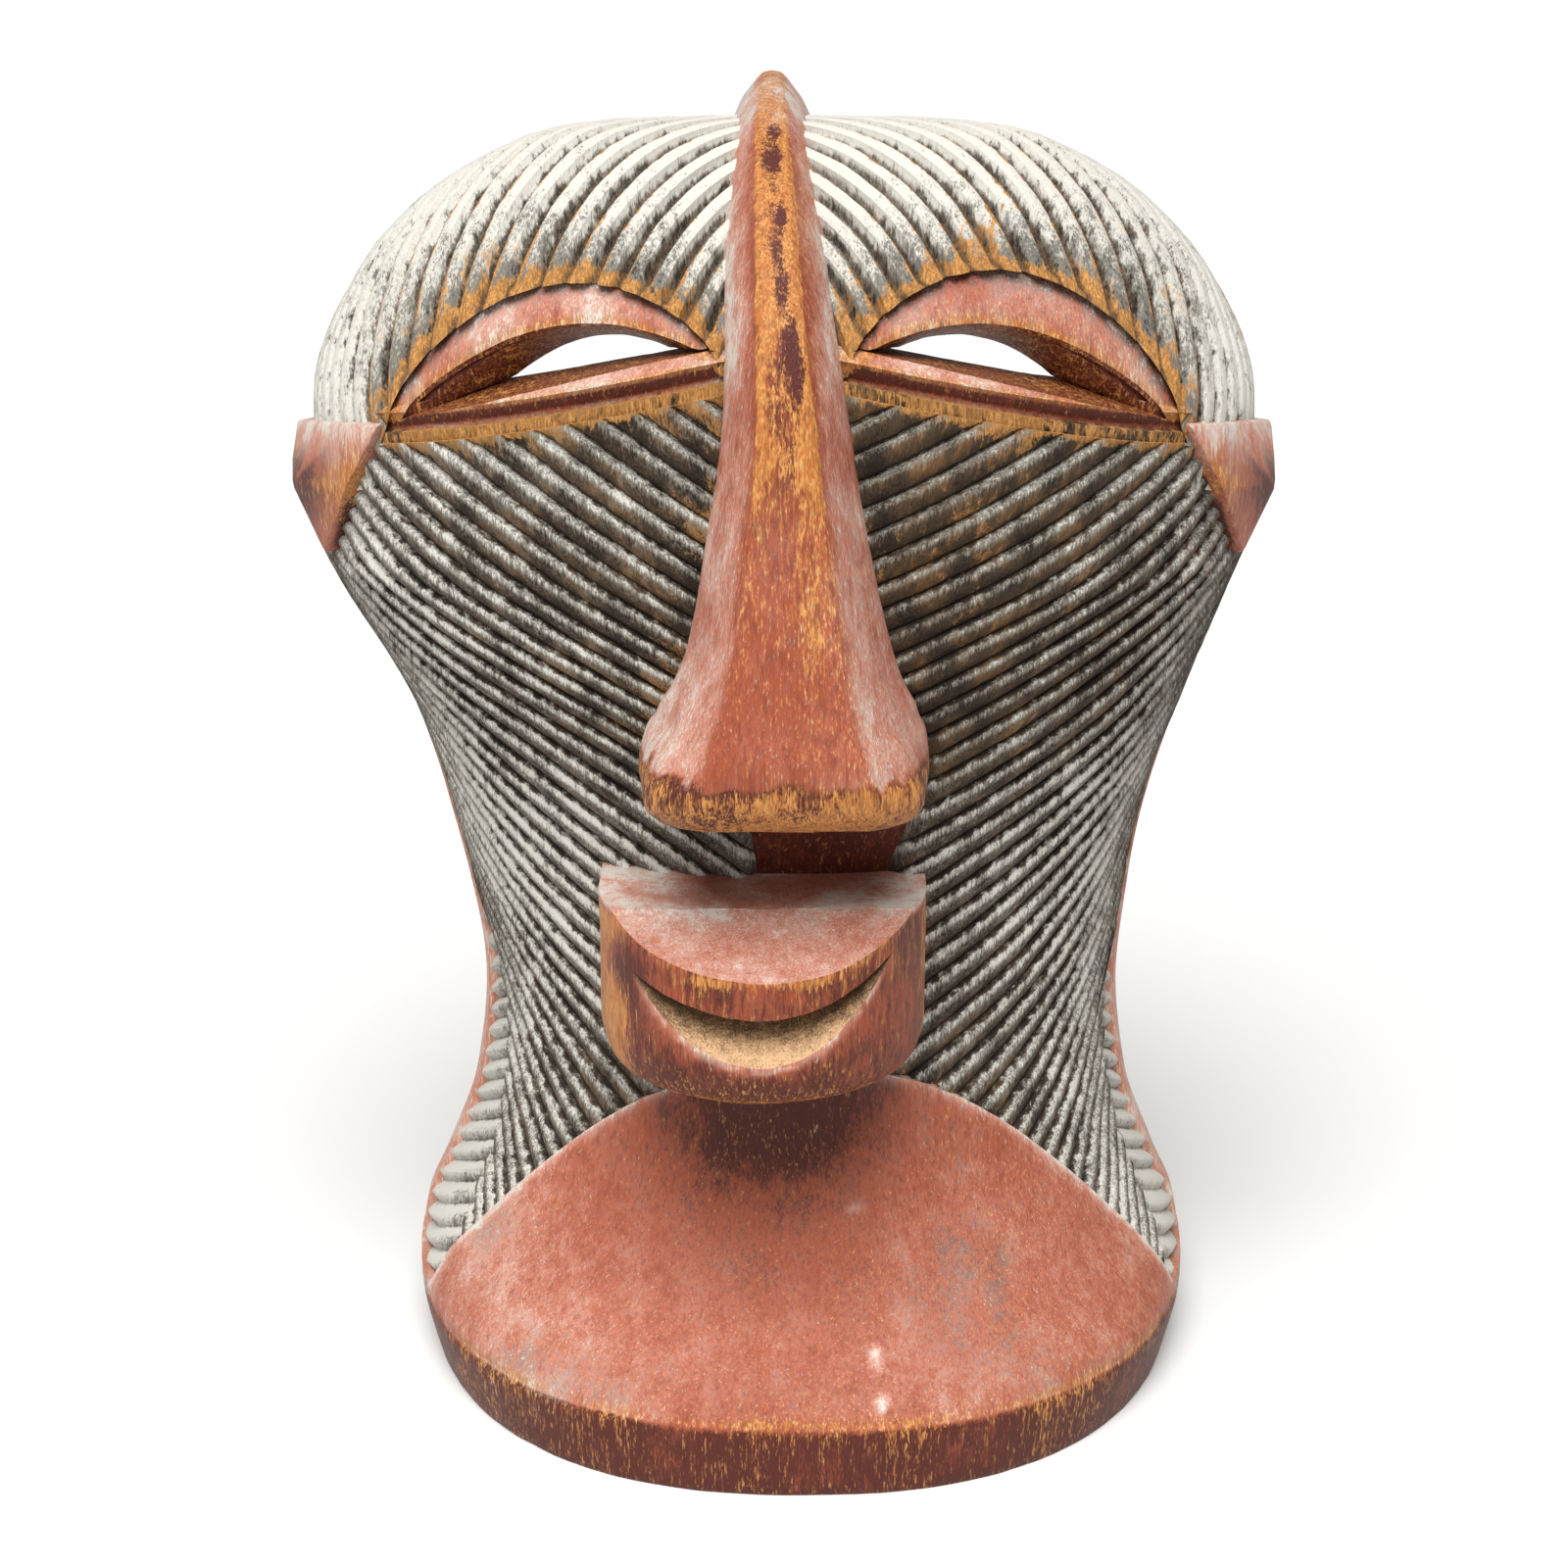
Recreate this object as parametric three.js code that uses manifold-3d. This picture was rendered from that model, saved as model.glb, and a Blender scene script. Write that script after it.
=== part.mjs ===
// A carved wooden kifwebe mask that stands on its own flared base.
//
// The whole mask is one piece of wood, so the group holds one mesh, "mask".
// Units are millimetres. +X is the mask's left-to-right as its viewer sees it, the face
// looks along -Y and +Z is up. While it is shaped, the flat back rim lies in the plane
// y = 0 and the underside in z = 0. The last step moves it forward or back, so that the
// middle of its bounding box is over the origin.

import * as THREE from 'three';
import { ConvexGeometry } from 'three/addons/geometries/ConvexGeometry.js';
import { mergeVertices } from 'three/addons/utils/BufferGeometryUtils.js';
import Module from 'manifold-3d';

const wasm = await Module();
wasm.setup();

// Driving dimensions

const DOME_TOP = 352.5;        // top of the fluted head
const SHOULDER = 240;          // height where the head starts to close into a dome
const DOME_POLE_Y = -46;       // the dome closes over this depth
const DOME_BULGE = 6;          // extra swell of the forehead
const BASE_EDGE = 20;          // height of the base's upright edge
const WALL = 16;               // thickness of the hollowed wall
const FLUTE_DEPTH = 2.5;       // ridge to groove
const CHEEK_PITCH = 7.1;       // spacing of the cheek flutes up the middle of the face
const NECK_PITCH = 8.3;        // and under the height where they widen
const PITCH_CHANGE = 178.4;    // that height, a whole number of flutes under the topmost one
const CHEEK_FLUTES = 16;       // flutes from the topmost down to that height
const NECK_FLUTES = 29;        // flutes from that height down, as if they ran on under the apron
const BROW_PITCH = 3.52;       // spacing of the forehead flutes, in degrees about their centre
const FRINGE_PITCH = 5.8;      // spacing of the short flutes beside the back rim
const SKIN = 9;                // thickness of the fluted skins before they are joined
const RECESS = 3.8;            // the eyes lie this far under the flute ridges
const APRON_RISE = 0.9;        // the smooth apron stands this proud of the ridges
const RIM_BAND = 6;            // width of the plain band beside the back rim
const BAND_RISE = 0.6;         // and how proud of the ridges it stands
const LEANS = [[3.6, 190, 238], [1.4, 110, 160]];   // steps to the right: size, low end, high end
const LEFT_DIP = { size: 14, until: 0.45 };   // the left cheek's flutes dip towards the nose
const FAN_START = 7;           // the cheek flutes start this many degrees from the middle of the face
const RIM_ANGLE = 99;          // and flutes and apron run this far round, past the back rim
const FRINGE = { low: 18, high: 108, fall: 0.7 };   // it falls this much for each degree round
const ARCH = { foot: 18, rise: 87, spread: 1.25, fullness: 0.9 };
const HOLLOW_FLOOR = 26;       // the hollow's floor over the base
const HOLLOW_TOP = 332;
const BODY_SIDES = 40;         // facets round the smooth body

// Profiles of the body up its height: half width, front of the face, depth of the widest
// line and squareness of the section. Each row is [height, value].

const HALF_WIDTH = [[0, 108], [20, 112], [34, 110], [50, 103.5], [75, 95], [105, 92], [135, 94.7],
  [165, 99.7], [200, 110], [225, 120.5], [SHOULDER, 126.5]];
const FACE_FRONT = [[0, -110], [20, -110], [34, -98], [50, -84.5], [75, -71.5], [105, -66],
  [135, -69], [165, -77], [200, -88], [225, -94], [SHOULDER, -96]];
const WIDEST_Y = [[0, 6], [20, 6], [50, 10], [105, 16], [165, 10], [200, 5], [SHOULDER, 0]];
const SQUARENESS = [[0, 2.3], [20, 2.3], [50, 2.1], [165, 2.1], [SHOULDER, 2.25]];

// Half width of the dome against how far it has closed, from 0 to 90 degrees.

const DOME_WIDTH = [[0, 126.5], [20, 124.5], [38, 111], [52, 94], [66, 73], [79, 51], [90, 0]];

// The nose and crest are one ridge that ends on the back rim. Each row is [depth and height of
// its edge, how far its root lies inside that edge, half width at the root, half width of the
// worn front strip, fullness of the flanks, sideways place].

const RIDGE = [
  [-119.5, 192.5, 40, 31, 20, 5.5, 0], [-124.5, 196.5, 44, 35, 21.5, 5.5, 0],
  [-127, 202, 45, 36.2, 21, 4.5, 0], [-127.5, 209, 45, 35.2, 18.5, 3.5, 0.3],
  [-125, 220, 42, 32, 15, 2, 0.8], [-123.4, 228, 39, 28.4, 13.5, 1.5, 1],
  [-121.5, 238, 36, 24.8, 12, 1, 1.2], [-118, 260, 32, 20, 9.5, 0.6, 0.8],
  [-114.5, 285, 30, 16, 6.6, 0.4, 0.6], [-109, 306, 29, 14, 5.4, 0.4, -0.4],
  [-100.5, 324, 28, 12.8, 4.6, 0.4, -1.5], [-89, 338, 28, 12.3, 4.2, 0.4, -2.3],
  [-74, 349.5, 28, 12, 3.6, 0.5, -2.8], [-58, 357, 28, 11.5, 3, 0.6, -3],
  [-40, 361, 28, 11, 2.4, 0.8, -3], [-20, 360.5, 28, 11, 2.4, 0.8, -3],
  [6, 357.5, 28, 11, 2.4, 0.8, -3]];

const MOUTH = { x: -5.5, halfWidth: 42, back: -60, side: -80, front: -118, top: 163,
  bottom: 117, fold: -96, slopeDrop: 11, slit: 142, slitDrop: 13, slitBack: -104, squareness: 2 };

const EYE = { inner: 15, outer: 98, innerHeight: 298, outerHeight: 280,
  leftRise: 28, rightRise: 31 };

// The lower lid, as heights over its line: its top, its worn edge, the groove's foot, the border.

const LID = { top: 6.3, edge: 3.6, foot: -1.4, border: -3.4 };

// Small maths

const degrees = (angle) => angle * Math.PI / 180;
const clamp = (x, low, high) => Math.min(high, Math.max(low, x));
const mix = (a, b, t) => a + (b - a) * t;
const range = (count) => Array.from({ length: count }, (_, i) => i);

/** A monotone cubic through [place, value] rows, held flat past both ends. */
function smoothThrough(rows) {
  const gaps = rows.slice(1).map((row, i) => row[0] - rows[i][0]);
  const slopes = gaps.map((gap, i) => (rows[i + 1][1] - rows[i][1]) / gap);
  const tangents = rows.map((_, i) => {
    if (i === 0) return slopes[0];
    if (i === rows.length - 1) return slopes[i - 1];
    if (slopes[i - 1] * slopes[i] <= 0) return 0;
    const a = 2 * gaps[i] + gaps[i - 1];
    const b = gaps[i] + 2 * gaps[i - 1];
    return (a + b) / (a / slopes[i - 1] + b / slopes[i]);
  });
  return (place) => {
    const x = clamp(place, rows[0][0], rows[rows.length - 1][0]);
    const i = Math.min(gaps.length - 1, Math.max(0, rows.findIndex((row) => row[0] >= x) - 1));
    const t = (x - rows[i][0]) / gaps[i];
    const s = 1 - t;
    return rows[i][1] * (1 + 2 * t) * s * s + rows[i + 1][1] * (3 - 2 * t) * t * t
      + gaps[i] * (tangents[i] * t * s * s - tangents[i + 1] * t * t * s);
  };
}

const halfWidthAt = smoothThrough(HALF_WIDTH);
const frontAt = smoothThrough(FACE_FRONT);
const widestAt = smoothThrough(WIDEST_Y);
const squarenessAt = smoothThrough(SQUARENESS);
const domeWidthAt = smoothThrough(DOME_WIDTH);

/** How far the lower half leans to the right at a height. */
function lean(z) {
  return LEANS.reduce((sum, [size, low, high]) => {
    const t = clamp((high - z) / (high - low), 0, 1);
    return sum + size * t * t * (3 - 2 * t);
  }, 0);
}

/** The level section of the body at a height: half width, front, widest depth, squareness. */
function section(z) {
  const t = clamp((z - SHOULDER) / (DOME_TOP - SHOULDER), 0, 1);
  const squareness = squarenessAt(z);
  if (t === 0) return { width: halfWidthAt(z), front: frontAt(z), centre: widestAt(z), squareness };
  const width = domeWidthAt(Math.asin(t) * 180 / Math.PI);
  const reach = -frontAt(SHOULDER) + DOME_BULGE * Math.sin(Math.PI * t ** 0.8) + DOME_POLE_Y;
  const front = DOME_POLE_Y - reach * (1 - t ** 2.4) ** (1 / 2.2);
  return { width, front, centre: DOME_POLE_Y * t ** 2.2, squareness };
}

const signedPower = (x, power) => Math.sign(x) * Math.abs(x) ** power;

/** A point of the body: the angle is 0 at the front and 90 degrees at the widest line. */
function skin(angle, z, offset = 0) {
  const { width, front, centre, squareness } = section(z);
  const power = 2 / squareness;
  const lift = offset * Math.max(0, z - SHOULDER) / (DOME_TOP - SHOULDER);
  return new THREE.Vector3(
    Math.max(0, width + offset) * signedPower(Math.sin(angle), power) + lean(z),
    centre - Math.max(0, centre - front + offset) * signedPower(Math.cos(angle), power),
    z + lift);
}

function isInside(point) {
  if (point.z >= DOME_TOP) return false;
  const { width, front, centre, squareness } = section(point.z);
  return Math.abs((point.x - lean(point.z)) / width) ** squareness
    + Math.abs((point.y - centre) / (centre - front)) ** squareness < 1;
}

/** The depth of the body's skin behind a place seen from the front. */
function skinDepth(x, z) {
  const { width, front, centre, squareness } = section(z);
  const across = Math.min(0.999, Math.abs(x - lean(z)) / width);
  return centre - (centre - front) * (1 - across ** squareness) ** (1 / squareness);
}

/** The distance from a point inside the head to its skin, along a direction. */
function reachOfHead(origin, direction) {
  let near = 0;
  let far = 260;
  for (let i = 0; i < 40; i += 1) {
    const middle = (near + far) / 2;
    if (isInside(origin.clone().addScaledVector(direction, middle))) near = middle;
    else far = middle;
  }
  return near;
}

// Solids from meshes

/** A manifold solid from points and triangles, turned the right way out. */
function solidFrom(points, triangles) {
  const geometry = new THREE.BufferGeometry();
  geometry.setAttribute('position', new THREE.Float32BufferAttribute(
    points.flatMap((p) => [p.x, p.y, p.z]), 3));
  geometry.setIndex(triangles.flat());
  return toSolid(geometry);
}

function toSolid(geometry) {
  const bare = geometry.clone();
  for (const name of Object.keys(bare.attributes)) {
    if (name !== 'position') bare.deleteAttribute(name);
  }
  const merged = mergeVertices(bare, 1e-4);
  const place = merged.attributes.position.array;
  const kept = [];
  let volume = 0;
  for (let i = 0; i < merged.index.count; i += 3) {
    const [a, b, c] = [0, 1, 2].map((k) => merged.index.array[i + k]);
    if (a === b || b === c || c === a) continue;
    kept.push(a, b, c);
    const [pa, pb, pc] = [a, b, c].map((k) => new THREE.Vector3().fromArray(place, 3 * k));
    volume += pa.dot(pb.cross(pc)) / 6;
  }
  if (volume < 0) {
    for (let i = 0; i < kept.length; i += 3) [kept[i], kept[i + 1]] = [kept[i + 1], kept[i]];
  }
  return new wasm.Manifold(new wasm.Mesh({
    numProp: 3, vertProperties: Float32Array.from(place), triVerts: Uint32Array.from(kept) }));
}

/** A closed sheet between an outer and an inner grid of points, with walls round its edge. */
function sheetSolid(outer, inner) {
  const rows = outer.length;
  const columns = outer[0].length;
  const points = [...outer.flat(), ...inner.flat()];
  const at = (row, column, side) => side * rows * columns + row * columns + column;
  const triangles = [];
  const quad = (a, b, c, d) => triangles.push([a, b, c], [a, c, d]);
  for (let i = 0; i + 1 < rows; i += 1) {
    for (let j = 0; j + 1 < columns; j += 1) {
      quad(at(i, j, 0), at(i, j + 1, 0), at(i + 1, j + 1, 0), at(i + 1, j, 0));
      quad(at(i, j, 1), at(i + 1, j, 1), at(i + 1, j + 1, 1), at(i, j + 1, 1));
    }
    quad(at(i, 0, 0), at(i + 1, 0, 0), at(i + 1, 0, 1), at(i, 0, 1));
    quad(at(i, columns - 1, 0), at(i, columns - 1, 1), at(i + 1, columns - 1, 1),
      at(i + 1, columns - 1, 0));
  }
  for (let j = 0; j + 1 < columns; j += 1) {
    quad(at(0, j, 0), at(0, j, 1), at(0, j + 1, 1), at(0, j + 1, 0));
    quad(at(rows - 1, j, 0), at(rows - 1, j + 1, 0), at(rows - 1, j + 1, 1), at(rows - 1, j, 1));
  }
  return solidFrom(points, triangles);
}

/** A closed stack of rings, all with the same count of points, capped flat at both ends. */
function ringSolid(rings) {
  const count = rings[0].length;
  const points = rings.flat();
  const triangles = [];
  for (let i = 0; i + 1 < rings.length; i += 1) {
    for (const j of range(count)) {
      const a = i * count + j;
      const b = i * count + (j + 1) % count;
      triangles.push([a, b, b + count], [a, b + count, a + count]);
    }
  }
  const middle = (ring) => ring.reduce((sum, p) => sum.add(p), new THREE.Vector3())
    .divideScalar(count);
  const bottom = points.push(middle(rings[0])) - 1;
  const top = points.push(middle(rings[rings.length - 1])) - 1;
  const last = (rings.length - 1) * count;
  for (const j of range(count)) {
    const next = (j + 1) % count;
    triangles.push([bottom, next, j], [top, last + j, last + next]);
  }
  return solidFrom(points, triangles);
}

/** An outline of [x, z] points seen from the front, extruded from one depth to another. */
function frontPrism(outline, front, back) {
  const shape = new THREE.Shape(outline.map(([x, z]) => new THREE.Vector2(x, z)));
  const geometry = new THREE.ExtrudeGeometry(shape, { depth: back - front, bevelEnabled: false });
  return toSolid(geometry.rotateX(Math.PI / 2).translate(0, back, 0));
}

/** An outline of [y, z] points seen from the side, extruded between two sideways places. */
function sidePrism(outline, left, right) {
  const shape = new THREE.Shape(outline.map(([y, z]) => new THREE.Vector2(y, z)));
  const geometry = new THREE.ExtrudeGeometry(shape, { depth: right - left, bevelEnabled: false });
  const turn = new THREE.Matrix4().makeBasis(
    new THREE.Vector3(0, 1, 0), new THREE.Vector3(0, 0, 1), new THREE.Vector3(1, 0, 0));
  return toSolid(geometry.applyMatrix4(turn).translate(left, 0, 0));
}

const block = (low, high) => toSolid(new THREE.BoxGeometry(
  high[0] - low[0], high[1] - low[1], high[2] - low[2]).translate(
  (low[0] + high[0]) / 2, (low[1] + high[1]) / 2, (low[2] + high[2]) / 2));

const joined = (solids) => solids.reduce((sum, next) => sum.add(next));

// Body: the smooth carved form under everything

const HEIGHTS = [0, BASE_EDGE, 27, 34, 42, 50, 62, 75, 90, 105, 120, 135, 150, 165, 182, 200, 218,
  SHOULDER];
const DOME_STEPS = [10, 20, 29, 38, 46, 54, 62, 70, 77, 83, 87.5];

function bodyLevels(offset) {
  const dome = DOME_STEPS.map((step) => mix(SHOULDER, DOME_TOP, Math.sin(degrees(step))));
  return [...HEIGHTS, ...dome].map((z) => range(BODY_SIDES)
    .map((i) => skin(i * 2 * Math.PI / BODY_SIDES, z, offset)));
}

const bodyAt = (offset) => ringSolid(bodyLevels(offset));

// Cheeks: flutes that fan out and up from the middle of the face

/** Height of a cheek flute that starts at a height on the middle line, at an angle round. */
function cheekFlute(start, angle, side) {
  const s = Math.abs(angle) / (Math.PI / 2);
  const u = (start - 150) / 100;
  const dip = side < 0 ? LEFT_DIP.size * Math.max(0, 1 - s / LEFT_DIP.until) ** 2 : 0;
  return start + (86 + 4 * u) * s + (20 - 26 * u) * s ** 3 - dip;
}

const cheekTop = smoothThrough([[0, 301], [10, 299], [24, 294], [50, 285], [58, 275], [68, 250],
  [90, 238]]);
const archHeight = (angle) => ARCH.foot
  + ARCH.rise * Math.cos(Math.min(Math.PI / 2, Math.abs(angle) * ARCH.spread)) ** ARCH.fullness;
const fringeStart = smoothThrough([[FRINGE.low, 64], [50, 70], [80, 78], [105, 88], [112, 96]]);

/** The angle where a rising flute first meets a condition, between two angles. */
function firstAngle(low, high, isPast) {
  for (let angle = low; angle < high; angle += degrees(0.5)) if (isPast(angle)) return angle;
  return high;
}

/** Height on the middle line of a half flute, counted down from the topmost ridge. */
function fluteStart(half) {
  const change = 2 * CHEEK_FLUTES;
  return half < change ? PITCH_CHANGE + (change - half) * CHEEK_PITCH / 2
    : PITCH_CHANGE - (half - change) * NECK_PITCH / 2;
}

function cheekRows(firstHalf, lastHalf, columns, side) {
  const first = degrees(FAN_START);
  const last = degrees(RIM_ANGLE);
  const outer = [];
  const inner = [];
  for (let half = firstHalf; half <= lastHalf; half += 1) {
    const start = fluteStart(half);
    const height = (a) => cheekFlute(start, a, side);
    const low = firstAngle(first, last, (a) => height(a) > archHeight(a) - 5);
    const high = firstAngle(low + degrees(1), last, (a) => height(a) > cheekTop(a * 180 / Math.PI)
      || a > degrees(fringeStart(height(a)) + 0.5));
    const row = range(columns + 1).map((j) => mix(low, high, j / columns));
    outer.push(row.map((a) => skin(side * a, height(a), half % 2 ? -FLUTE_DEPTH : 0)));
    inner.push(row.map((a) => skin(side * a, height(a), -SKIN)));
  }
  return sheetSolid(outer, inner);
}

const steps = (low, high, step) => range(Math.round((high - low) / step) + 1)
  .map((i) => low + i * step);

/** Long flutes above the arch, then the shorter ones that start on it. */
function cheek(side) {
  const arch = 2 * CHEEK_FLUTES + 2 * 9;
  return cheekRows(0, arch, 7, side)
    .add(cheekRows(arch, 2 * (CHEEK_FLUTES + NECK_FLUTES), 4, side));
}

/** Short flutes between the cheek's fan and the band beside the back rim, which fall to it. */
function fringe(side) {
  const outer = [];
  const inner = [];
  steps(FRINGE.low, FRINGE.high, FRINGE_PITCH / 2).forEach((z, i) => {
    const low = degrees(fringeStart(z));
    const row = [low, mix(low, degrees(RIM_ANGLE), 0.5), degrees(RIM_ANGLE)];
    const height = (a) => z - FRINGE.fall * (a - low) * 180 / Math.PI;
    outer.push(row.map((a) => skin(side * a, height(a), i % 2 ? 0 : -FLUTE_DEPTH)));
    inner.push(row.map((a) => skin(side * a, height(a), -SKIN)));
  });
  return sheetSolid(outer, inner);
}

// Forehead: flutes on small circles about an axis that leaves the head beside the nose

const FOREHEAD = { first: 20, last: 125 };   // the smallest and largest circle, in degrees
const HEAD_CENTRE = new THREE.Vector3(0, -10, 265);
const BROW_AXIS = new THREE.Vector3(31, -97, 292).sub(HEAD_CENTRE).normalize();
const BROW_ACROSS = new THREE.Vector3(0, 0, 1).cross(BROW_AXIS).normalize();
const BROW_UP = BROW_AXIS.clone().cross(BROW_ACROSS);

const browLine = (x) => EYE.innerHeight
  - (EYE.innerHeight - EYE.outerHeight) * (Math.abs(x) - EYE.inner) / (EYE.outer - EYE.inner);

/** The height where the forehead flutes end: behind the eye's recess, or behind the ear. */
const browEnd = (x) => (Math.abs(x) > EYE.outer + 6 ? 262 : browLine(x) - 3);

function browPoint(spread, turn, side, offset) {
  const direction = BROW_AXIS.clone().multiplyScalar(Math.cos(spread))
    .addScaledVector(BROW_ACROSS, Math.sin(spread) * Math.cos(turn))
    .addScaledVector(BROW_UP, Math.sin(spread) * Math.sin(turn));
  const point = HEAD_CENTRE.clone()
    .addScaledVector(direction, reachOfHead(HEAD_CENTRE, direction) + offset);
  return point.setX(-side * point.x);
}

function forehead(side) {
  const outer = [];
  const inner = [];
  const columns = 7;
  const first = Math.round(FOREHEAD.first / (BROW_PITCH / 2));
  const last = Math.round(FOREHEAD.last / (BROW_PITCH / 2));
  for (let k = first; k <= last; k += 1) {
    const spread = degrees(k * BROW_PITCH / 2);
    const turnAt = (test) => {
      for (let turn = degrees(60); turn < degrees(300); turn += degrees(1)) {
        const p = browPoint(spread, turn, -1, 0);
        if (test(p)) return turn;
      }
      return degrees(300);
    };
    const start = turnAt((p) => p.x < -4);
    const end = Math.max(start + degrees(2), turnAt((p) => p.x < -4 && p.z < browEnd(p.x)));
    if (end - start < degrees(3)) continue;
    const offset = k % 2 ? 0 : -FLUTE_DEPTH;
    const turns = range(columns + 1).map((j) => mix(start, end, j / columns));
    outer.push(turns.map((turn) => browPoint(spread, turn, -side, offset)));
    inner.push(turns.map((turn) => browPoint(spread, turn, -side, -SKIN)));
  }
  return sheetSolid(outer, inner);
}

// Eyes: a recess under the brow, a slot right through, and a grooved lower lid

/** The outline under the brow: an arc over the lid line, closed some way below that line. */
function eyeOutline(side, lowerDrop) {
  const span = EYE.outer - EYE.inner;
  const rise = side < 0 ? EYE.leftRise : EYE.rightRise;
  const arc = range(17).map((i) => {
    const t = i / 16;
    const x = EYE.inner + span * t;
    return [side * x, browLine(x) + rise * Math.max(0, Math.sin(Math.PI * t)) ** 0.6];
  });
  const lower = [EYE.outer + 2, EYE.inner - 6].map((x) => [side * x, browLine(x) - lowerDrop]);
  return [...arc, ...lower];
}

/** The slot: it follows the face, and each ring is an arch that narrows towards the hollow. */
function eyeSlot(side) {
  const ring = (depth, inner, outer, bottom, taper, rise) => range(20).map((i) => {
    const t = i < 11 ? i / 10 : 1 - (i - 10) / 10;
    const x = mix(inner, outer, t);
    const bow = Math.max(0, Math.sin(Math.PI * t)) ** 0.75;
    const sill = bottom - taper * t * t;
    const z = browLine(x) + (i > 0 && i < 10 ? Math.max(sill + 0.5, 2 + rise * bow) : sill);
    return new THREE.Vector3(side * x, skinDepth(x, z) + depth, z);
  });
  const mouth = [EYE.inner + 1, EYE.outer - 4, LID.top, LID.top - 1.6, 16.4];
  const throat = [23, 70, 5.6, 0.4, 10.2];
  return ringSolid([ring(-14, ...mouth), ring(RECESS - 1, ...mouth), ring(WALL + 1, ...throat),
    ring(WALL + 16, ...throat)]);
}

/** Strips that follow the lid line: the sloping lid and the plain border under its groove. */
function lowerLid(side) {
  const strip = (top, topRise, taper, bottom, bottomRise) => {
    const grid = (under) => range(9).map((i) => {
      const x = mix(EYE.inner - 4, EYE.outer + 3, i / 8);
      return [[bottom, bottomRise], [top - taper * (i / 8) ** 2, topRise]].map(([height, rise]) => {
        const z = browLine(x) + height;
        return new THREE.Vector3(side * x, skinDepth(x, z) + (under ? SKIN : -rise), z);
      });
    });
    return sheetSolid(grid(false), grid(true));
  };
  const taper = LID.top - LID.edge - 0.8;
  return strip(LID.top, -2.4, taper, LID.edge, 0.2).add(strip(LID.foot, -0.2, 0, LID.border, -0.2));
}

// Ears: faceted lugs at the widest part of the head

function ear(side) {
  const p = (x, y, z) => new THREE.Vector3(side * x, y, z);
  const points = [p(100, -70, 281), p(110.5, -61, 262), p(119, -44.5, 241), p(117.5, 0, 233),
    p(110, -60, 279), p(119, -42, 275.5), p(129, -16, 270), p(127.5, 0, 267),
    p(131.5, -12, 258), p(131, 0, 250), p(128.5, -32, 256),
    p(90, -50, 279), p(100, 0, 267), p(104, -40, 245), p(100, 0, 236)];
  return toSolid(new ConvexGeometry(points));
}

// Nose and crest: one faceted ridge from the top of the head to the nostrils

function nose() {
  const edge = RIDGE.map(([y, z]) => new THREE.Vector2(y, z));
  return ringSolid(RIDGE.map(([y, z, depth, base, strip, fullness, x], i) => {
    const along = edge[Math.min(i + 1, edge.length - 1)].clone().sub(edge[Math.max(i - 1, 0)]);
    const inward = i < 4 ? new THREE.Vector2(1, 0) : new THREE.Vector2(along.y, -along.x).normalize();
    const at = (dx, inset) => new THREE.Vector3(x + dx, y + inward.x * inset, z + inward.y * inset);
    const flank = [[base * 0.96, depth], [base, depth - 14],
      [mix(base, strip, 0.5) + fullness, mix(depth - 14, 0.5, 0.5) - fullness],
      [mix(base, strip, 0.8) + fullness * 0.6, mix(depth - 14, 0.5, 0.8) - fullness * 0.5], [strip, 0.5]];
    return [...flank.map(([dx, inset]) => at(-dx, inset)), at(0, 0),
      ...flank.reverse().map(([dx, inset]) => at(dx, inset))];
  }));
}

// Mouth: a bowed block with a sloping upper lip and an open slit

function mouth() {
  const { x, halfWidth, back, side, front, squareness, top, bottom } = MOUTH;
  const ring = (z, shrink) => [
    ...range(13).map((i) => {
      const angle = degrees(-90 + 180 * i / 12);
      return new THREE.Vector3(
        x + (halfWidth - shrink) * signedPower(Math.sin(angle), 2 / squareness),
        side - (side - front - shrink) * signedPower(Math.cos(angle), 2 / squareness), z);
    }),
    new THREE.Vector3(x + halfWidth - shrink, back, z),
    new THREE.Vector3(x - halfWidth + shrink, back, z)];
  const blockSolid = ringSolid([ring(bottom, 5), ring(bottom + 5, 1.5), ring(bottom + 12, 0),
    ring(top, 0)]);
  const { fold, slopeDrop, slit, slitDrop, slitBack } = MOUTH;
  const reach = front - 12;
  const slope = sidePrism([[fold, top], [fold, top + 5], [reach, top + 5],
    [reach, top - slopeDrop * (fold - reach) / (fold - front)]], x - 60, x + 60);
  const opening = sidePrism([[slitBack, slit], [reach, slit],
    [reach, slit - slitDrop * (slitBack - reach) / (slitBack - front)]], x - 60, x + 60);
  return blockSolid.subtract(slope).subtract(opening);
}

// Apron and base: the smooth flare in front, under an arch, down to the upright edge

function apron() {
  const angles = range(25).map((i) => degrees(mix(-RIM_ANGLE, RIM_ANGLE, i / 24)));
  const levels = [0, 0.1, 0.22, 0.36, 0.52, 0.7, 0.86, 1];
  const grid = (offset) => angles.map((angle) => {
    const foot = skin(angle, 0, offset);
    const flare = levels.map((t) => skin(angle, mix(BASE_EDGE, Math.max(archHeight(angle),
      BASE_EDGE + 4), t), offset));
    return [foot, ...flare];
  });
  return sheetSolid(grid(APRON_RISE), grid(-SKIN));
}

// Hollow: open at the back, with a floor over the base

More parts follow.
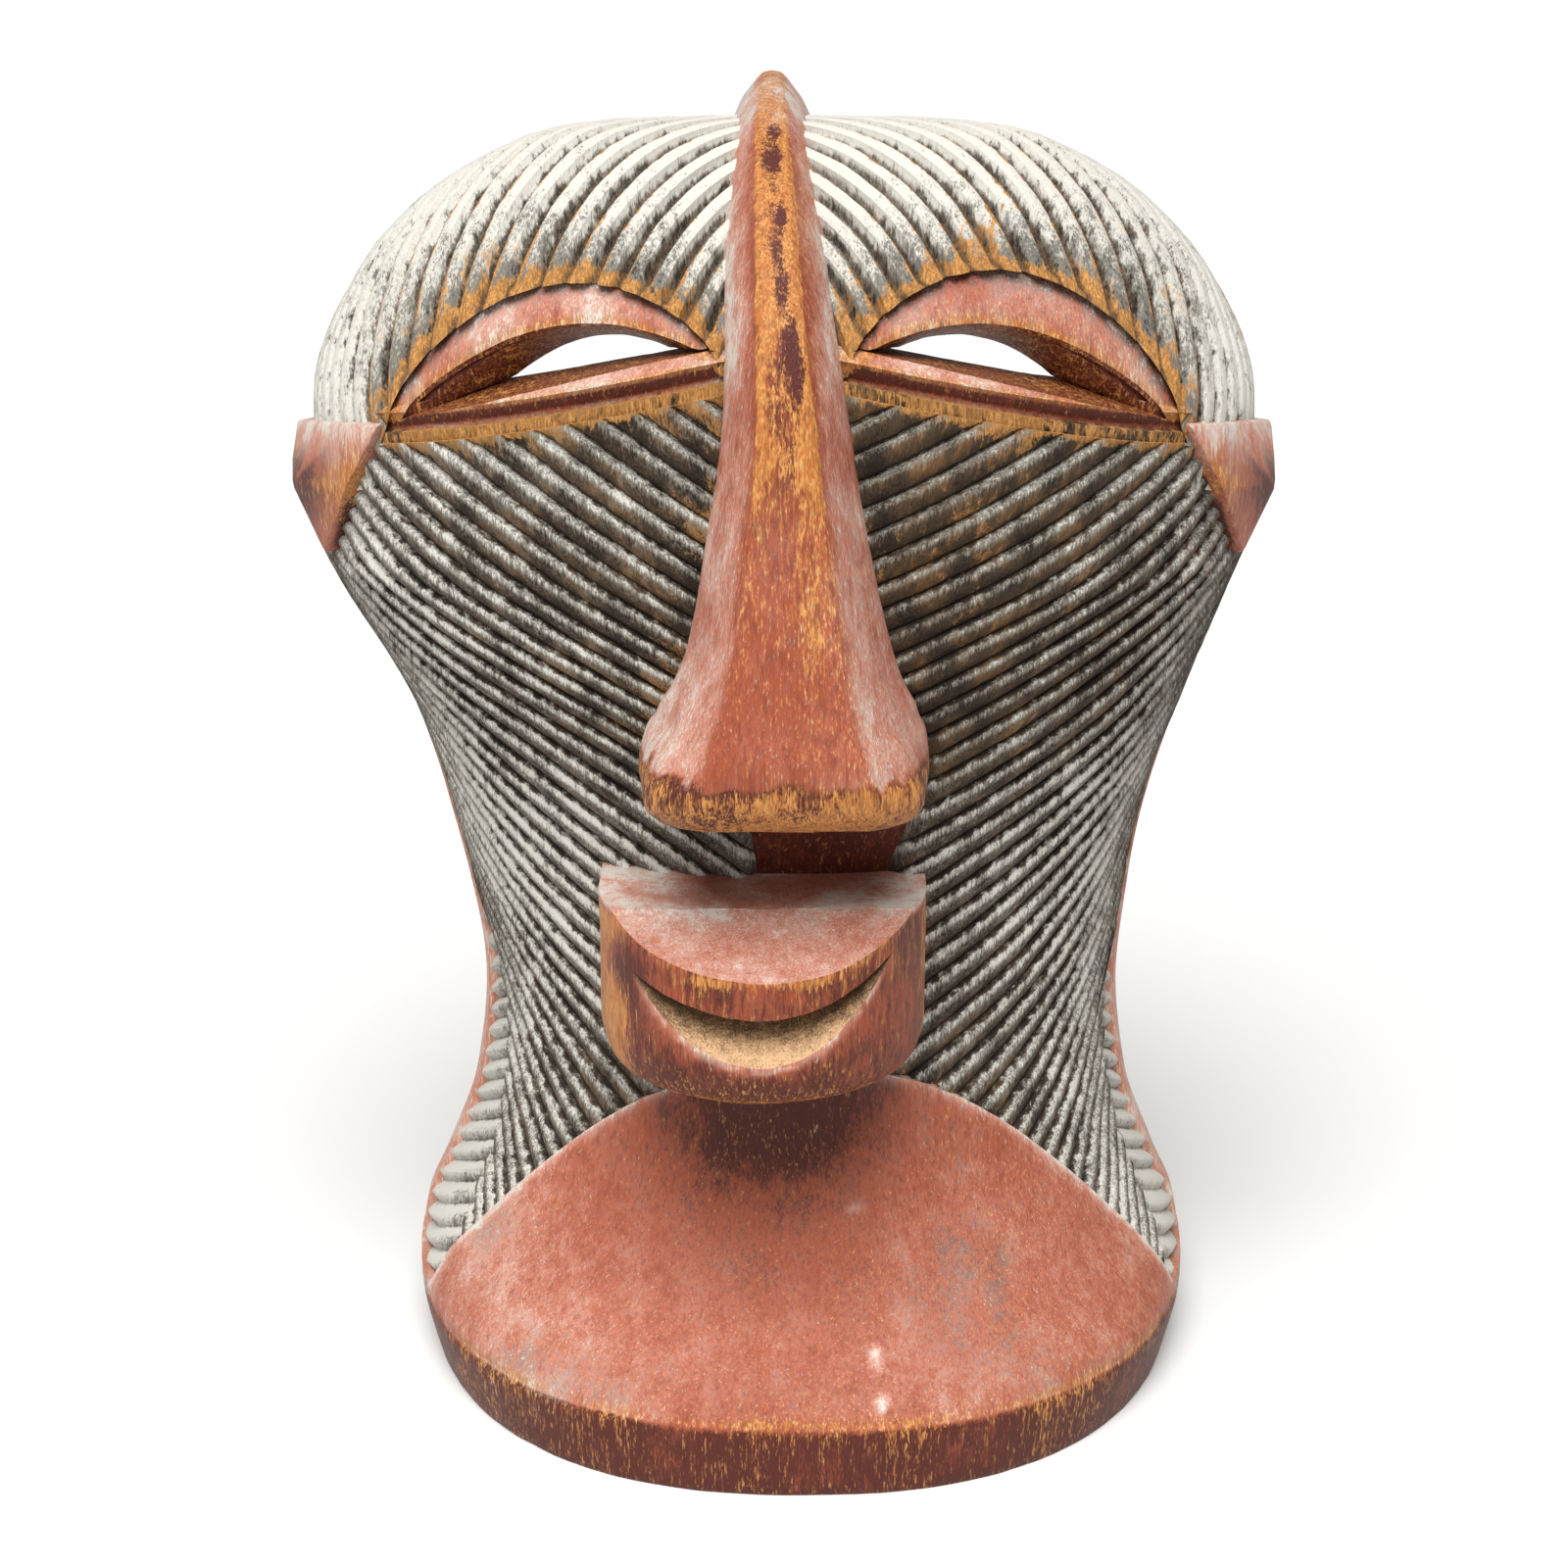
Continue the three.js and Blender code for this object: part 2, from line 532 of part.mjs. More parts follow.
function hollow() {
  const levels = [HOLLOW_FLOOR, 40, 60, 90, 120, 150, 175, 200, 225, SHOULDER, 262, 284, 304, 320,
    HOLLOW_TOP];
  const rings = levels.map((z) => {
    const { width, front } = section(z);
    const narrow = clamp(z, 105, DOME_TOP);
    const neck = section(narrow);
    const halfWidth = Math.min(width, neck.width) - WALL;
    const depth = Math.max(front, neck.front) + WALL;
    return [...range(13).map((i) => {
      const angle = degrees(-90 + 180 * i / 12);
      return new THREE.Vector3(halfWidth * signedPower(Math.sin(angle), 0.9) + lean(z),
        depth * signedPower(Math.cos(angle), 0.9), z);
    }), new THREE.Vector3(halfWidth + lean(z), 10, z), new THREE.Vector3(-halfWidth + lean(z), 10, z)];
  });
  return ringSolid(rings);
}

// The whole mask

function mask() {
  const sides = [-1, 1];
  let flutes = joined(sides.flatMap((side) => [cheek(side), fringe(side), forehead(side)]));
  for (const side of sides) {
    flutes = flutes.subtract(frontPrism(eyeOutline(side, 0.7 - LID.border), -130, -40));
  }
  const core = bodyAt(-RECESS);
  const band = bodyAt(BAND_RISE).intersect(block([-200, -RIM_BAND, 0], [200, 40, 400]));
  let wood = joined([core, band, flutes, apron(), nose(), mouth(),
    ...sides.flatMap((side) => [lowerLid(side), ear(side)])]);
  wood = wood.subtract(hollow());
  for (const side of sides) wood = wood.subtract(eyeSlot(side));
  return wood.intersect(block([-300, -300, 0], [300, 0, 500]));
}

function toGeometry(solid) {
  const { vertProperties, triVerts } = solid.getMesh();
  const geometry = new THREE.BufferGeometry();
  geometry.setAttribute('position', new THREE.BufferAttribute(vertProperties, 3));
  geometry.setIndex(new THREE.BufferAttribute(triVerts, 1));
  return geometry;
}

const geometry = toGeometry(mask());
geometry.computeBoundingBox();
const middle = geometry.boundingBox.getCenter(new THREE.Vector3());
const carved = new THREE.Mesh(geometry, new THREE.MeshStandardMaterial(
  { name: 'painted_wood', color: 0x8a4a36, roughness: 0.75, metalness: 0 }));
carved.name = 'mask';
carved.position.set(-middle.x, -middle.y, 0);

const part = new THREE.Group();
part.name = 'kifwebe_mask';
part.add(carved);

export default part;
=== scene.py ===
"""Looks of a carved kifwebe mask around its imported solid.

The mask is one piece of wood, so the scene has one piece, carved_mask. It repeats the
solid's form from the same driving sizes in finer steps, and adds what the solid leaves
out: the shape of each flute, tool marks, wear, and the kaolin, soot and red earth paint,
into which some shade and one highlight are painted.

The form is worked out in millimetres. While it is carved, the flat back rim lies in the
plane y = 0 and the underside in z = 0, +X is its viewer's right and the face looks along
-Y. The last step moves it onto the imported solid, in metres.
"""

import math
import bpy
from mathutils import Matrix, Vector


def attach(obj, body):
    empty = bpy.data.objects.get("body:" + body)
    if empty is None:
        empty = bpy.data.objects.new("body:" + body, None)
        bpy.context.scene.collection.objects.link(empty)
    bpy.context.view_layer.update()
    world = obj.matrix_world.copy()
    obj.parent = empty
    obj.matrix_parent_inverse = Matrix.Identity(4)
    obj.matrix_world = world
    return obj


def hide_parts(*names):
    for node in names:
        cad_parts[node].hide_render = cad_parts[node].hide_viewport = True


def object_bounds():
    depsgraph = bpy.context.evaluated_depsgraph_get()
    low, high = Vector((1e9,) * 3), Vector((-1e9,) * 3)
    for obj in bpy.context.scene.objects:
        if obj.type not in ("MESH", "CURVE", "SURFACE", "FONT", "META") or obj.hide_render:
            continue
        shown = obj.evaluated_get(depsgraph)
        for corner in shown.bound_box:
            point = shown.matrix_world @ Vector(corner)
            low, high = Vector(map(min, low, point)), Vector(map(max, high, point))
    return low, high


bl_info = {
    "name": "Carved Kifwebe Mask",
    "version": (1, 0, 0),
    "blender": (4, 5, 0),
    "location": "3D View > Sidebar > Mask",
    "description": "Carves and paints a wooden kifwebe mask and sets a studio round it",
    "category": "Add Mesh",
}

import bmesh
import bpy
import numpy as np
from bpy.props import FloatProperty, FloatVectorProperty, PointerProperty
from mathutils import Vector

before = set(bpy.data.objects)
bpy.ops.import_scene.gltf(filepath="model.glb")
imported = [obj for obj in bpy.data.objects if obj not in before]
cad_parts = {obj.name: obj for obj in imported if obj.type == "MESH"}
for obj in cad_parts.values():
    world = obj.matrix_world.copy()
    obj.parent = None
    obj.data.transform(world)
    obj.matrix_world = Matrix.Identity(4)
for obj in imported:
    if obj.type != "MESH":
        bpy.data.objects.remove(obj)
cad_low, cad_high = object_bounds()

MM = 0.001
SIDES = (-1, 1)

# Profiles of the body up its height: half width, front of the face, depth of the widest line
# and squareness of the section. Each row is [height, value] in millimetres.

HALF_WIDTH = [[0, 108], [20, 112], [34, 110], [50, 103.5], [75, 95], [105, 92], [135, 94.7],
              [165, 99.7], [200, 110], [225, 120.5], [240, 126.5]]
FACE_FRONT = [[0, -110], [20, -110], [34, -98], [50, -84.5], [75, -71.5], [105, -66],
              [135, -69], [165, -77], [200, -88], [225, -94], [240, -96]]
WIDEST_Y = [[0, 6], [20, 6], [50, 10], [105, 16], [165, 10], [200, 5], [240, 0]]
SQUARENESS = [[0, 2.3], [20, 2.3], [50, 2.1], [165, 2.1], [240, 2.25]]

# The lower half leans to the right in two steps: how far, low end and high end.

LEANS = ((3.6, 190, 238), (1.4, 110, 160))

# Half width of the dome against how far it has closed, from 0 to 90 degrees, how far its
# front bulges on the way, and the depth of its top.

DOME_WIDTH = [[0, 126.5], [20, 124.5], [38, 111], [52, 94], [66, 73], [79, 51], [90, 0]]
DOME_BULGE = 6
DOME_POLE_Y = -46

# The base's upright edge, with the heights of its rows of points, and the arch of the apron
# over it: its foot, its rise, how fast it falls round the body, and its fullness.

BASE_EDGE = 20
BASE_ROWS = [0, 0.7, 3, 6, 9, 12, 15, 18, 19.3]
ARCH = {"foot": 18, "rise": 87, "spread": 1.25, "fullness": 0.9}

# How deep the sheets that carry the flutes reach under the skin, the angle in degrees where
# they end at the back, and the body's rough radius, which turns an angle into a distance
# along a flute.

SKIN = 9
RIM_ANGLE = 99
BODY_RADIUS = 100

# The cheek flutes are counted down from the topmost ridge. The left side has two more beside
# the nose. At a height on the middle line the neck's wider pitch starts, and from ARCH_FLUTES
# on down the arch cuts them all short.

FIRST_FLUTE = {-1: -2.5, 1: -0.5}
CHEEK_FLUTES = 16
ARCH_FLUTES = 26
NECK_FLUTES = 29
PITCH_CHANGE = 178.4

# With s from 0 at the front to 1 at a right angle, a cheek flute climbs by s times its rise
# and the cube of s times its sweep. Both are given as [for a flute that starts at the height
# "from", change for each 100 mm over that]. On the left the flutes dip towards the nose.

CLIMB = {"from": 150, "rise": (86, 4), "sweep": (20, -26)}
LEFT_DIP = {"size": 14, "until": 0.45}

# The cheek's fan starts at an angle beside the nose, or further round where the plain groove
# from nose to mouth keeps it away. It stops at a height for each angle round, or where the
# fringe starts, at an angle for each height. Angles are in degrees.

FAN_START = 4.5
PHILTRUM = {"height": [120, 150, 172, 188, 204, 216], "left": [7, 5, 6, 11, 11, 4.5],
            "right": [8, 12, 16, 16, 13, 4.5]}
CHEEK_TOP = [[0, 301], [10, 299], [24, 294], [50, 285], [58, 275], [68, 250], [90, 238]]
FRINGE_START = [[18, 64], [80, 63], [104, 65], [128, 75.5], [136, 92]]
FRINGE = {"low": 18, "high": 134, "right_turn": 5, "fall": 0.7}

# The forehead's flutes lie on circles round an axis from the head's centre. They are kept
# between two angles from the axis, and from beside the middle line down to behind the ear.
# Their spacing on the skin is about 7 mm.

HEAD_CENTRE = np.array([0.0, -10.0, 265.0])
BROW_AXIS = np.array([31.0, -97.0, 292.0]) - HEAD_CENTRE
FOREHEAD = {"first": 20, "last": 125, "beside": -4, "ear_height": 262, "spacing": 7}

# Places across one flute, from groove to groove, where a row of points is put. A cheek flute
# is steep over its groove and long under its ridge, and a forehead flute has a flat top.

REED_STOPS = (0, 0.07, 0.18, 0.32, 0.48, 0.64, 0.8, 0.93)
FLAT_STOPS = (0, 0.09, 0.18, 0.26, 0.5, 0.74, 0.82, 0.91)
FLAT_GROOVE = 0.27

# The straight lid line from corner to corner of an eye, the arc of each brow over it, and
# heights over that line on the lids. The slot's throat is [inner end, outer end, height of
# the sill, its fall, rise of its arch].

EYE = {"inner": 15, "outer": 98, "inner_height": 298, "outer_height": 280,
       "left_rise": 28, "right_rise": 31}
LID = {"top": 6.3, "edge": 3.6, "slot": 2, "foot": -1.4, "border": -3.4, "hem": -5.4}
SLOT_RISE = 16.4
THROAT = np.array([23, 70, 5.6, 0.4, 10.2])

# The strips of a lower lid: zone, upper and lower edge, and how far each edge stands over
# the skin.

LID_STRIPS = (("lid", "top", "edge", -2.4, 0.2), ("lid", "edge", "foot", -0.5, -3.4),
              ("border", "foot", "hem", -0.4, -1.6))

# The nose and crest are one ridge that ends on the back rim. Each row is [depth and height of
# its edge, how far its root lies inside that edge, half width at the root, half width of the
# worn front strip, fullness of the flanks, sideways place].

RIDGE = [
    [-119.5, 192.5, 40, 31, 20, 5.5, 0], [-124.5, 196.5, 44, 35, 21.5, 5.5, 0],
    [-127, 202, 45, 36.2, 21, 4.5, 0], [-127.5, 209, 45, 35.2, 18.5, 3.5, 0.3],
    [-125, 220, 42, 32, 15, 2, 0.8], [-123.4, 228, 39, 28.4, 13.5, 1.5, 1],
    [-121.5, 238, 36, 24.8, 12, 1, 1.2], [-118, 260, 32, 20, 9.5, 0.6, 0.8],
    [-114.5, 285, 30, 16, 6.6, 0.4, 0.6], [-109, 306, 29, 14, 5.4, 0.4, -0.4],
    [-100.5, 324, 28, 12.8, 4.6, 0.4, -1.5], [-89, 338, 28, 12.3, 4.2, 0.4, -2.3],
    [-74, 349.5, 28, 12, 3.6, 0.5, -2.8], [-58, 357, 28, 11.5, 3, 0.6, -3],
    [-40, 361, 28, 11, 2.4, 0.8, -3], [-20, 360.5, 28, 11, 2.4, 0.8, -3],
    [6, 357.5, 28, 11, 2.4, 0.8, -3]]

# The mouth's block, the upper lip's slope from its fold, and the slit under it, which rises
# by smile at the distance corner from the middle, and more on the right. The cutters that
# make them reach past the block.

MOUTH = {"x": -5.5, "half_width": 42, "back": -60, "side": -80, "front": -118, "top": 163,
         "bottom": 117, "fold": -96, "slope_drop": 11, "slit": 142, "slit_drop": 13,
         "slit_back": -104, "squareness": 2, "smile": 9, "corner": 31, "skew": 0.25}
CUTTER = {"ahead": 12, "half_width": 60, "headroom": 40}

# Corners of the right ear, and the height of its top edge against the distance from the
# middle.

EAR = [[100, -70, 281], [110.5, -61, 262], [119, -44.5, 241], [117.5, 0, 233],
       [110, -60, 279], [119, -42, 275.5], [129, -16, 270], [127.5, 0, 267], [131.5, -12, 258],
       [131, 0, 250], [128.5, -32, 256], [90, -50, 279], [100, 0, 267], [104, -40, 245],
       [100, 0, 236]]
EAR_TOP = {"width": [100, 110, 119, 129], "height": [281, 279, 275.5, 270]}

# Heights of the hollow's floor and top.

HOLLOW_FLOOR = 26
HOLLOW_TOP = 332

# Noise on the carving and its paint, each as the size of its cells in millimetres and a seed
# of its own, and noise along the flutes, whose seed is one less on the left and one more on
# the right.

NOISE = {"lid_border": ([3, 9, 9], 5), "brow_border": ([2.5, 8, 8], 6), "lip": (10, 61),
         "slit_roof": (12, 62), "adze": ([26, 26, 17], 71), "small_adze": ([9, 9, 7], 72),
         "chips": ([5, 5, 60], 73), "worn_foot": (5, 74), "scoops": ([17, 17, 24], 81),
         "small_scoops": ([7, 7, 10], 82), "blade": ([9, 9, 14], 91),
         "pits": ([2.2, 2.2, 4.5], 92), "broad": (34, 101), "middle": ([13, 13, 18], 102),
         "slivers": ([2.2, 2.2, 12], 103), "blotches": ([4.5, 4.5, 16], 104)}
COURSE = {"cheek": (14, 11), "cheek_depth": (9, 21), "fringe_depth": (9, 31),
          "forehead": (16, 41), "forehead_depth": (10, 51)}

# Upright stains on the crest and drips of clay on the apron: x, height, half width and half
# height.

CREST_STAINS = ((-2.5, 346.5, 2.4, 9), (-0.7, 335, 1.2, 2.5), (-0.8, 321, 2.2, 7),
                (1.6, 309, 2.4, 6), (3.4, 300, 2.2, 6))
APRON_DRIPS = ((25.3, 34.5, 1.2, 2.2), (25.6, 25, 1.1, 1.4), (19.6, 67, 1.1, 1.5))

# Noise in the materials, stretched up the grain: the size of its cells across and along the
# grain in millimetres, and its detail. Real fibres are finer than 0.4 mm, which is as coarse
# as they need to be to show.

GRAIN = {"fibre": (0.42, 2.4, 3.0), "pore": (0.9, 11.0, 2.0), "flake": (2.0, 7.0, 4.0),
         "patch": (9.0, 15.0, 3.0)}

# The studio: the high light's direction, width and strength, the soft box's place from the
# mask's middle and its size in metres and power, the light from all round, and the floor.

CEILING = {"azimuth": -7, "elevation": 60, "softness": 40, "strength": 5.6}
SOFT_BOX = {"place": (-1.5, -1.6, 0.7), "size": 1.4, "power": 10}
SKY_STRENGTH = 0.3
FLOOR_REACH = 12

# What each face of the carving is part of, kept as its material index while the solids are
# joined.

ZONES = ("core", "cheek", "fringe", "forehead", "brow", "apron", "nose", "mouth", "slope",
         "crescent", "lid", "border", "ear", "band", "hollow", "slot", "rim")
ZONE = {name: index for index, name in enumerate(ZONES)}

# The angle between two faces, in degrees, past which the edge between them stays sharp.

SHARP = 38


def linear(hex_colour):
    """A colour written as sRGB hex, turned to linear light."""
    channels = [int(hex_colour[i:i + 2], 16) / 255 for i in (1, 3, 5)]
    return tuple(c / 12.92 if c <= 0.04045 else ((c + 0.055) / 1.055) ** 2.4 for c in channels)


def length(name, millimetres, description):
    """A length property whose default is written in millimetres."""
    return FloatProperty(name=name, description=description, default=millimetres * MM,
                         unit="LENGTH", precision=5)


def colour(name, hex_colour, description):
    """A colour property whose default is written as sRGB hex."""
    return FloatVectorProperty(name=name, description=description, subtype="COLOR",
                               default=linear(hex_colour), min=0, max=1)


class MaskSizes(bpy.types.PropertyGroup):
    """Lengths that drive the carving."""

    dome_top: length("Head height", 352.5, "Height of the top of the fluted head")
    shoulder: length("Shoulder height", 240, "Height where the head starts to close")
    wall: length("Wall", 16, "Thickness of the hollowed wall")
    flute_depth: length("Flute depth", 2.5, "From the ridge of a flute to its groove")
    cheek_pitch: length("Cheek pitch", 7.1, "Spacing of the cheek flutes up the face")
    neck_pitch: length("Neck pitch", 8.3, "Spacing of the flutes lower down")
    fringe_pitch: length("Fringe pitch", 5.8, "Spacing of the short flutes by the rim")
    recess: length("Eye recess", 3.8, "How far the eyes lie under the flute ridges")
    apron_rise: length("Apron rise", 0.9, "How proud of the ridges the apron stands")
    band_width: length("Rim band", 6, "Width of the plain band by the back rim")
    band_rise: length("Band rise", 0.6, "How proud of the ridges that band stands")
    hand_wobble: length("Hand wobble", 0.4, "How far a groove strays from its line")
    brow_pitch: FloatProperty(
        name="Forehead pitch", description="Spacing of the forehead flutes about their centre",
        default=math.radians(3.52), unit="ROTATION")


class MaskColours(bpy.types.PropertyGroup):
    """Colours of the wood and of what was put on it."""

    soot: colour("Soot", "#1a1510", "Black left in the grooves")
    umber: colour("Umber", "#4d3c2a", "Old dark wood under worn paint")
    ochre: colour("Raw ochre wood", "#8f6230", "Bare wood where the paint has worn off")
    kaolin: colour("Kaolin", "#bebbb2", "White clay on the flutes")
    slate: colour("Grey kaolin", "#6b675e", "White clay gone thin and grey")
    brick: colour("Red earth", "#8a4128", "Red earth paint")
    maroon: colour("Old red", "#4a1a10", "Thick old red paint")
    # This old red is also the colour of the painted shade under the brow, the mouth and the ear.
    rose: colour("Rubbed red", "#bf806b", "Red paint rubbed thin and dusty")
    tan: colour("Worn orange wood", "#a05e28", "Bare wood at the worn edges of the red")
    honey: colour("Pale wood fibres", "#c99252", "The palest fibres of bare wood")
    hollow: colour("Hollow wood", "#6f5136", "Wood inside the hollow")


class StudioSettings(bpy.types.PropertyGroup):
    """The studio round the mask."""

    floor: colour("Floor", "#c8c7c5", "Pale floor")
    sky: colour("Sky", "#ffffff", "Soft light from all round")
    focal_length: FloatProperty(name="Focal length", description="Lens of the camera",
                                default=66.0, unit="CAMERA")
    camera_back: length("Camera distance", 764.77, "Camera in front of the back rim")
    camera_height: length("Camera height", 439.73, "Camera over the floor")
    camera_tilt: FloatProperty(name="Camera tilt", description="How far down the camera looks",
                               default=math.radians(20), unit="ROTATION")


# Small maths


def smooth_through(rows):
    """A monotone cubic through [place, value] rows for whole arrays, held flat past both ends.

    Each row's tangent is the weighted harmonic mean of the slopes on its two sides, or
    nothing where those slopes point different ways."""
    places, values = np.array(rows, float).T
    gaps = np.diff(places)
    slopes = np.diff(values) / gaps
    tangents = np.concatenate((slopes[:1], np.zeros(len(slopes) - 1), slopes[-1:]))
    left, right = slopes[:-1], slopes[1:]
    even = left * right > 0
    near = 2 * gaps[1:] + gaps[:-1]
    far = gaps[1:] + 2 * gaps[:-1]
    tangents[1:-1][even] = ((near + far)[even]
                            / (near[even] / left[even] + far[even] / right[even]))

    def value(place):
        x = np.clip(place, places[0], places[-1])
        i = np.clip(np.searchsorted(places, x) - 1, 0, len(gaps) - 1)
        t = (x - places[i]) / gaps[i]
        s = 1 - t
        return (values[i] * (1 + 2 * t) * s * s + values[i + 1] * (3 - 2 * t) * t * t
                + gaps[i] * (tangents[i] * t * s * s - tangents[i + 1] * t * t * s))

    return value


half_width_at = smooth_through(HALF_WIDTH)
front_at = smooth_through(FACE_FRONT)
widest_at = smooth_through(WIDEST_Y)
squareness_at = smooth_through(SQUARENESS)
dome_width_at = smooth_through(DOME_WIDTH)
cheek_top_at = smooth_through(CHEEK_TOP)
fringe_start_at = smooth_through(FRINGE_START)


def mix(a, b, t):
    """The value a part t of the way from a to b."""
    return a + (b - a) * t


def ease(value, low, high):
    """0 under low, 1 over high, and a smooth step between them."""
    t = np.clip((value - low) / (high - low), 0, 1)
    return t * t * (3 - 2 * t)


def signed_power(value, power):
    """The size of a value raised to a power, with the value's own sign."""
    return np.sign(value) * np.abs(value) ** power


def noise(points, size, seed=0):
    """Smooth noise between -1 and 1: random values on a lattice with cells of that size,
    eased from corner to corner. A size may differ for x, y and z."""
    scaled = np.asarray(points, float) / size + 1000.5
    cell = np.floor(scaled).astype(np.int64)
    blend = scaled - cell
    blend = blend * blend * (3 - 2 * blend)
    total = np.zeros(scaled.shape[:-1])
    for corner in range(8):
        step = np.array([corner & 1, corner >> 1 & 1, corner >> 2 & 1])
        key = ((cell + step) * np.array([73856093, 19349663, 83492791])).sum(-1) + seed * 7919
        key = (key ^ key >> 13) * 1274126177 & 0xFFFFFFFF
        key = (key ^ key >> 16) * 2246822519 & 0xFFFFFFFF
        weight = np.where(step, blend, 1 - blend).prod(-1)
        total += weight * ((key >> 8) / 0xFFFFFF * 2 - 1)
    return total


def nearness(distance, size):
    """1 at a distance of nothing or less, fading past it as an exponential."""
    return np.exp(-np.maximum(0, distance) / size)


def hump(value, middle, half_width):
    """1 in the middle of a bell curve, falling to both sides."""
    return np.exp(-((value - middle) / half_width) ** 2)


def along_line(number, place, size, seed):
    """Smooth noise along lines: each whole number has its own course along the place."""
    flat = np.stack(np.broadcast_arrays(number * size * 3.0, place, 0.0), -1)
    return noise(flat, size, seed)


# The carved form


class Form:
    """The smooth body under the carving, in millimetres, for whole arrays of points."""

    def __init__(self, sizes):
        for name in MaskSizes.__annotations__:
            value = getattr(sizes, name)
            setattr(self, name, value if name == "brow_pitch" else value / MM)
        axis = BROW_AXIS / np.linalg.norm(BROW_AXIS)
        across = np.cross([0, 0, 1], axis)
        across /= np.linalg.norm(across)
        self.brow_frame = np.array([axis, across, np.cross(axis, across)])

    def lean(self, z):
        """How far the body leans to the right at a height: a smooth step for each lean."""
        return sum(size * ease(-z, -high, -low) for size, low, high in LEANS)

    def section(self, z):
        """The level section: half width, front, widest depth and squareness. Over the
        shoulder they close into a dome, whose front is a superellipse with a bulge."""
        closed = np.clip((z - self.shoulder) / (self.dome_top - self.shoulder), 0, 1)
        reach = (-front_at(self.shoulder) + DOME_BULGE * np.sin(np.pi * closed ** 0.8)
                 + DOME_POLE_Y)
        dome_front = DOME_POLE_Y - reach * (1 - closed ** 2.4) ** (1 / 2.2)
        on_dome = closed > 0
        width = np.where(on_dome, dome_width_at(np.degrees(np.arcsin(closed))), half_width_at(z))
        front = np.where(on_dome, dome_front, front_at(z))
        centre = np.where(on_dome, DOME_POLE_Y * closed ** 2.2, widest_at(z))
        return width, front, centre, squareness_at(z)

    def skin(self, angle, z, offset=0.0):
        """Points of the body: a superellipse at each height, with the angle 0 at the front
        and a right angle at the widest line."""
        width, front, centre, squareness = self.section(z)
        power = 2 / squareness
        lift = offset * np.maximum(0, z - self.shoulder) / (self.dome_top - self.shoulder)
        x = np.maximum(0, width + offset) * signed_power(np.sin(angle), power) + self.lean(z)
        y = centre - np.maximum(0, centre - front + offset) * signed_power(np.cos(angle), power)
        return np.stack(np.broadcast_arrays(x, y, z + lift), -1)

    def angle_of(self, points):
        """The angle round the body of points near its skin."""
        x, y, z = np.moveaxis(points, -1, 0)
        width, front, centre, squareness = self.section(z)
        across = signed_power((x - self.lean(z)) / width, squareness / 2)
        ahead = signed_power((centre - y) / (centre - front), squareness / 2)
        return np.arctan2(across, ahead)

    def is_inside(self, points):
        """Whether points lie inside the superellipse at their height, under the top."""
        x, y, z = np.moveaxis(points, -1, 0)
        width, front, centre, squareness = self.section(z)
        width = np.maximum(width, 1e-6)
        reach = (np.abs((x - self.lean(z)) / width) ** squareness
                 + np.abs((y - centre) / (centre - front - 1e-6)) ** squareness)
        return (reach < 1) & (z < self.dome_top)

    def skin_depth(self, x, z):
        """The depth of the skin behind a place seen from the front."""
        width, front, centre, squareness = self.section(z)
        across = np.minimum(0.999, np.abs(x - self.lean(z)) / width)
        return centre - (centre - front) * (1 - across ** squareness) ** (1 / squareness)

    def brow_points(self, spread, turn, offset=0.0):
        """Points on small circles about the brow axis, on the head's skin. The distance to
        the skin is found by halving a range that ends well outside the head."""
        axis, across, up = self.brow_frame
        ring = np.cos(turn)[..., None] * across + np.sin(turn)[..., None] * up
        direction = np.cos(spread)[..., None] * axis + np.sin(spread)[..., None] * ring
        near = np.zeros(direction.shape[:-1])
        far = np.full(direction.shape[:-1], 260.0)
        for _ in range(28):
            middle = (near + far) / 2
            inside = self.is_inside(HEAD_CENTRE + direction * middle[..., None])
            near = np.where(inside, middle, near)
            far = np.where(inside, far, middle)
        return HEAD_CENTRE + direction * (near + offset)[..., None]

    def cheek_start(self, count):
        """Height on the middle line of a cheek groove, counted down from the topmost ridge."""
        below = count + 0.5 - CHEEK_FLUTES
        return PITCH_CHANGE - np.where(below < 0, below * self.cheek_pitch,
                                       below * self.neck_pitch)

    def cheek_count(self, start):
        """The other way round: which groove starts at a height."""
        rise = start - PITCH_CHANGE
        below = -np.where(rise > 0, rise / self.cheek_pitch, rise / self.neck_pitch)
        return below - 0.5 + CHEEK_FLUTES


def left_dip(side, s):
    """How far the left cheek's flutes dip towards the nose: as the square of how far short
    they are of the place where the dip ends."""
    return np.where(side < 0, LEFT_DIP["size"] * np.maximum(0, 1 - s / LEFT_DIP["until"]) ** 2,
                    0.0)


def cheek_height(start, angle, side):
    """Height of a cheek flute at an angle: where it starts, with its rise times s, its sweep
    times the cube of s, and less the left side's dip."""
    s = np.abs(angle) / (np.pi / 2)
    over = (start - CLIMB["from"]) / 100
    (rise, more_rise), (sweep, more_sweep) = CLIMB["rise"], CLIMB["sweep"]
    return (start + (rise + more_rise * over) * s + (sweep + more_sweep * over) * s ** 3
            - left_dip(side, s))


def cheek_start_of(z, angle, side):
    """Where the cheek flute through a height and an angle starts on the middle line, from
    the same formula solved for the start."""
    s = np.abs(angle) / (np.pi / 2)
    over = CLIMB["from"] / 100
    (rise, more_rise), (sweep, more_sweep) = CLIMB["rise"], CLIMB["sweep"]
    climb = (rise - more_rise * over) * s + (sweep - more_sweep * over) * s ** 3
    return (z + left_dip(side, s) - climb) / (1 + more_rise / 100 * s + more_sweep / 100 * s ** 3)


def arch_height(angle):
    """Height of the apron's arch: a raised cosine round the body."""
    closed = np.minimum(np.pi / 2, np.abs(angle) * ARCH["spread"])
    return ARCH["foot"] + ARCH["rise"] * np.maximum(0, np.cos(closed)) ** ARCH["fullness"]


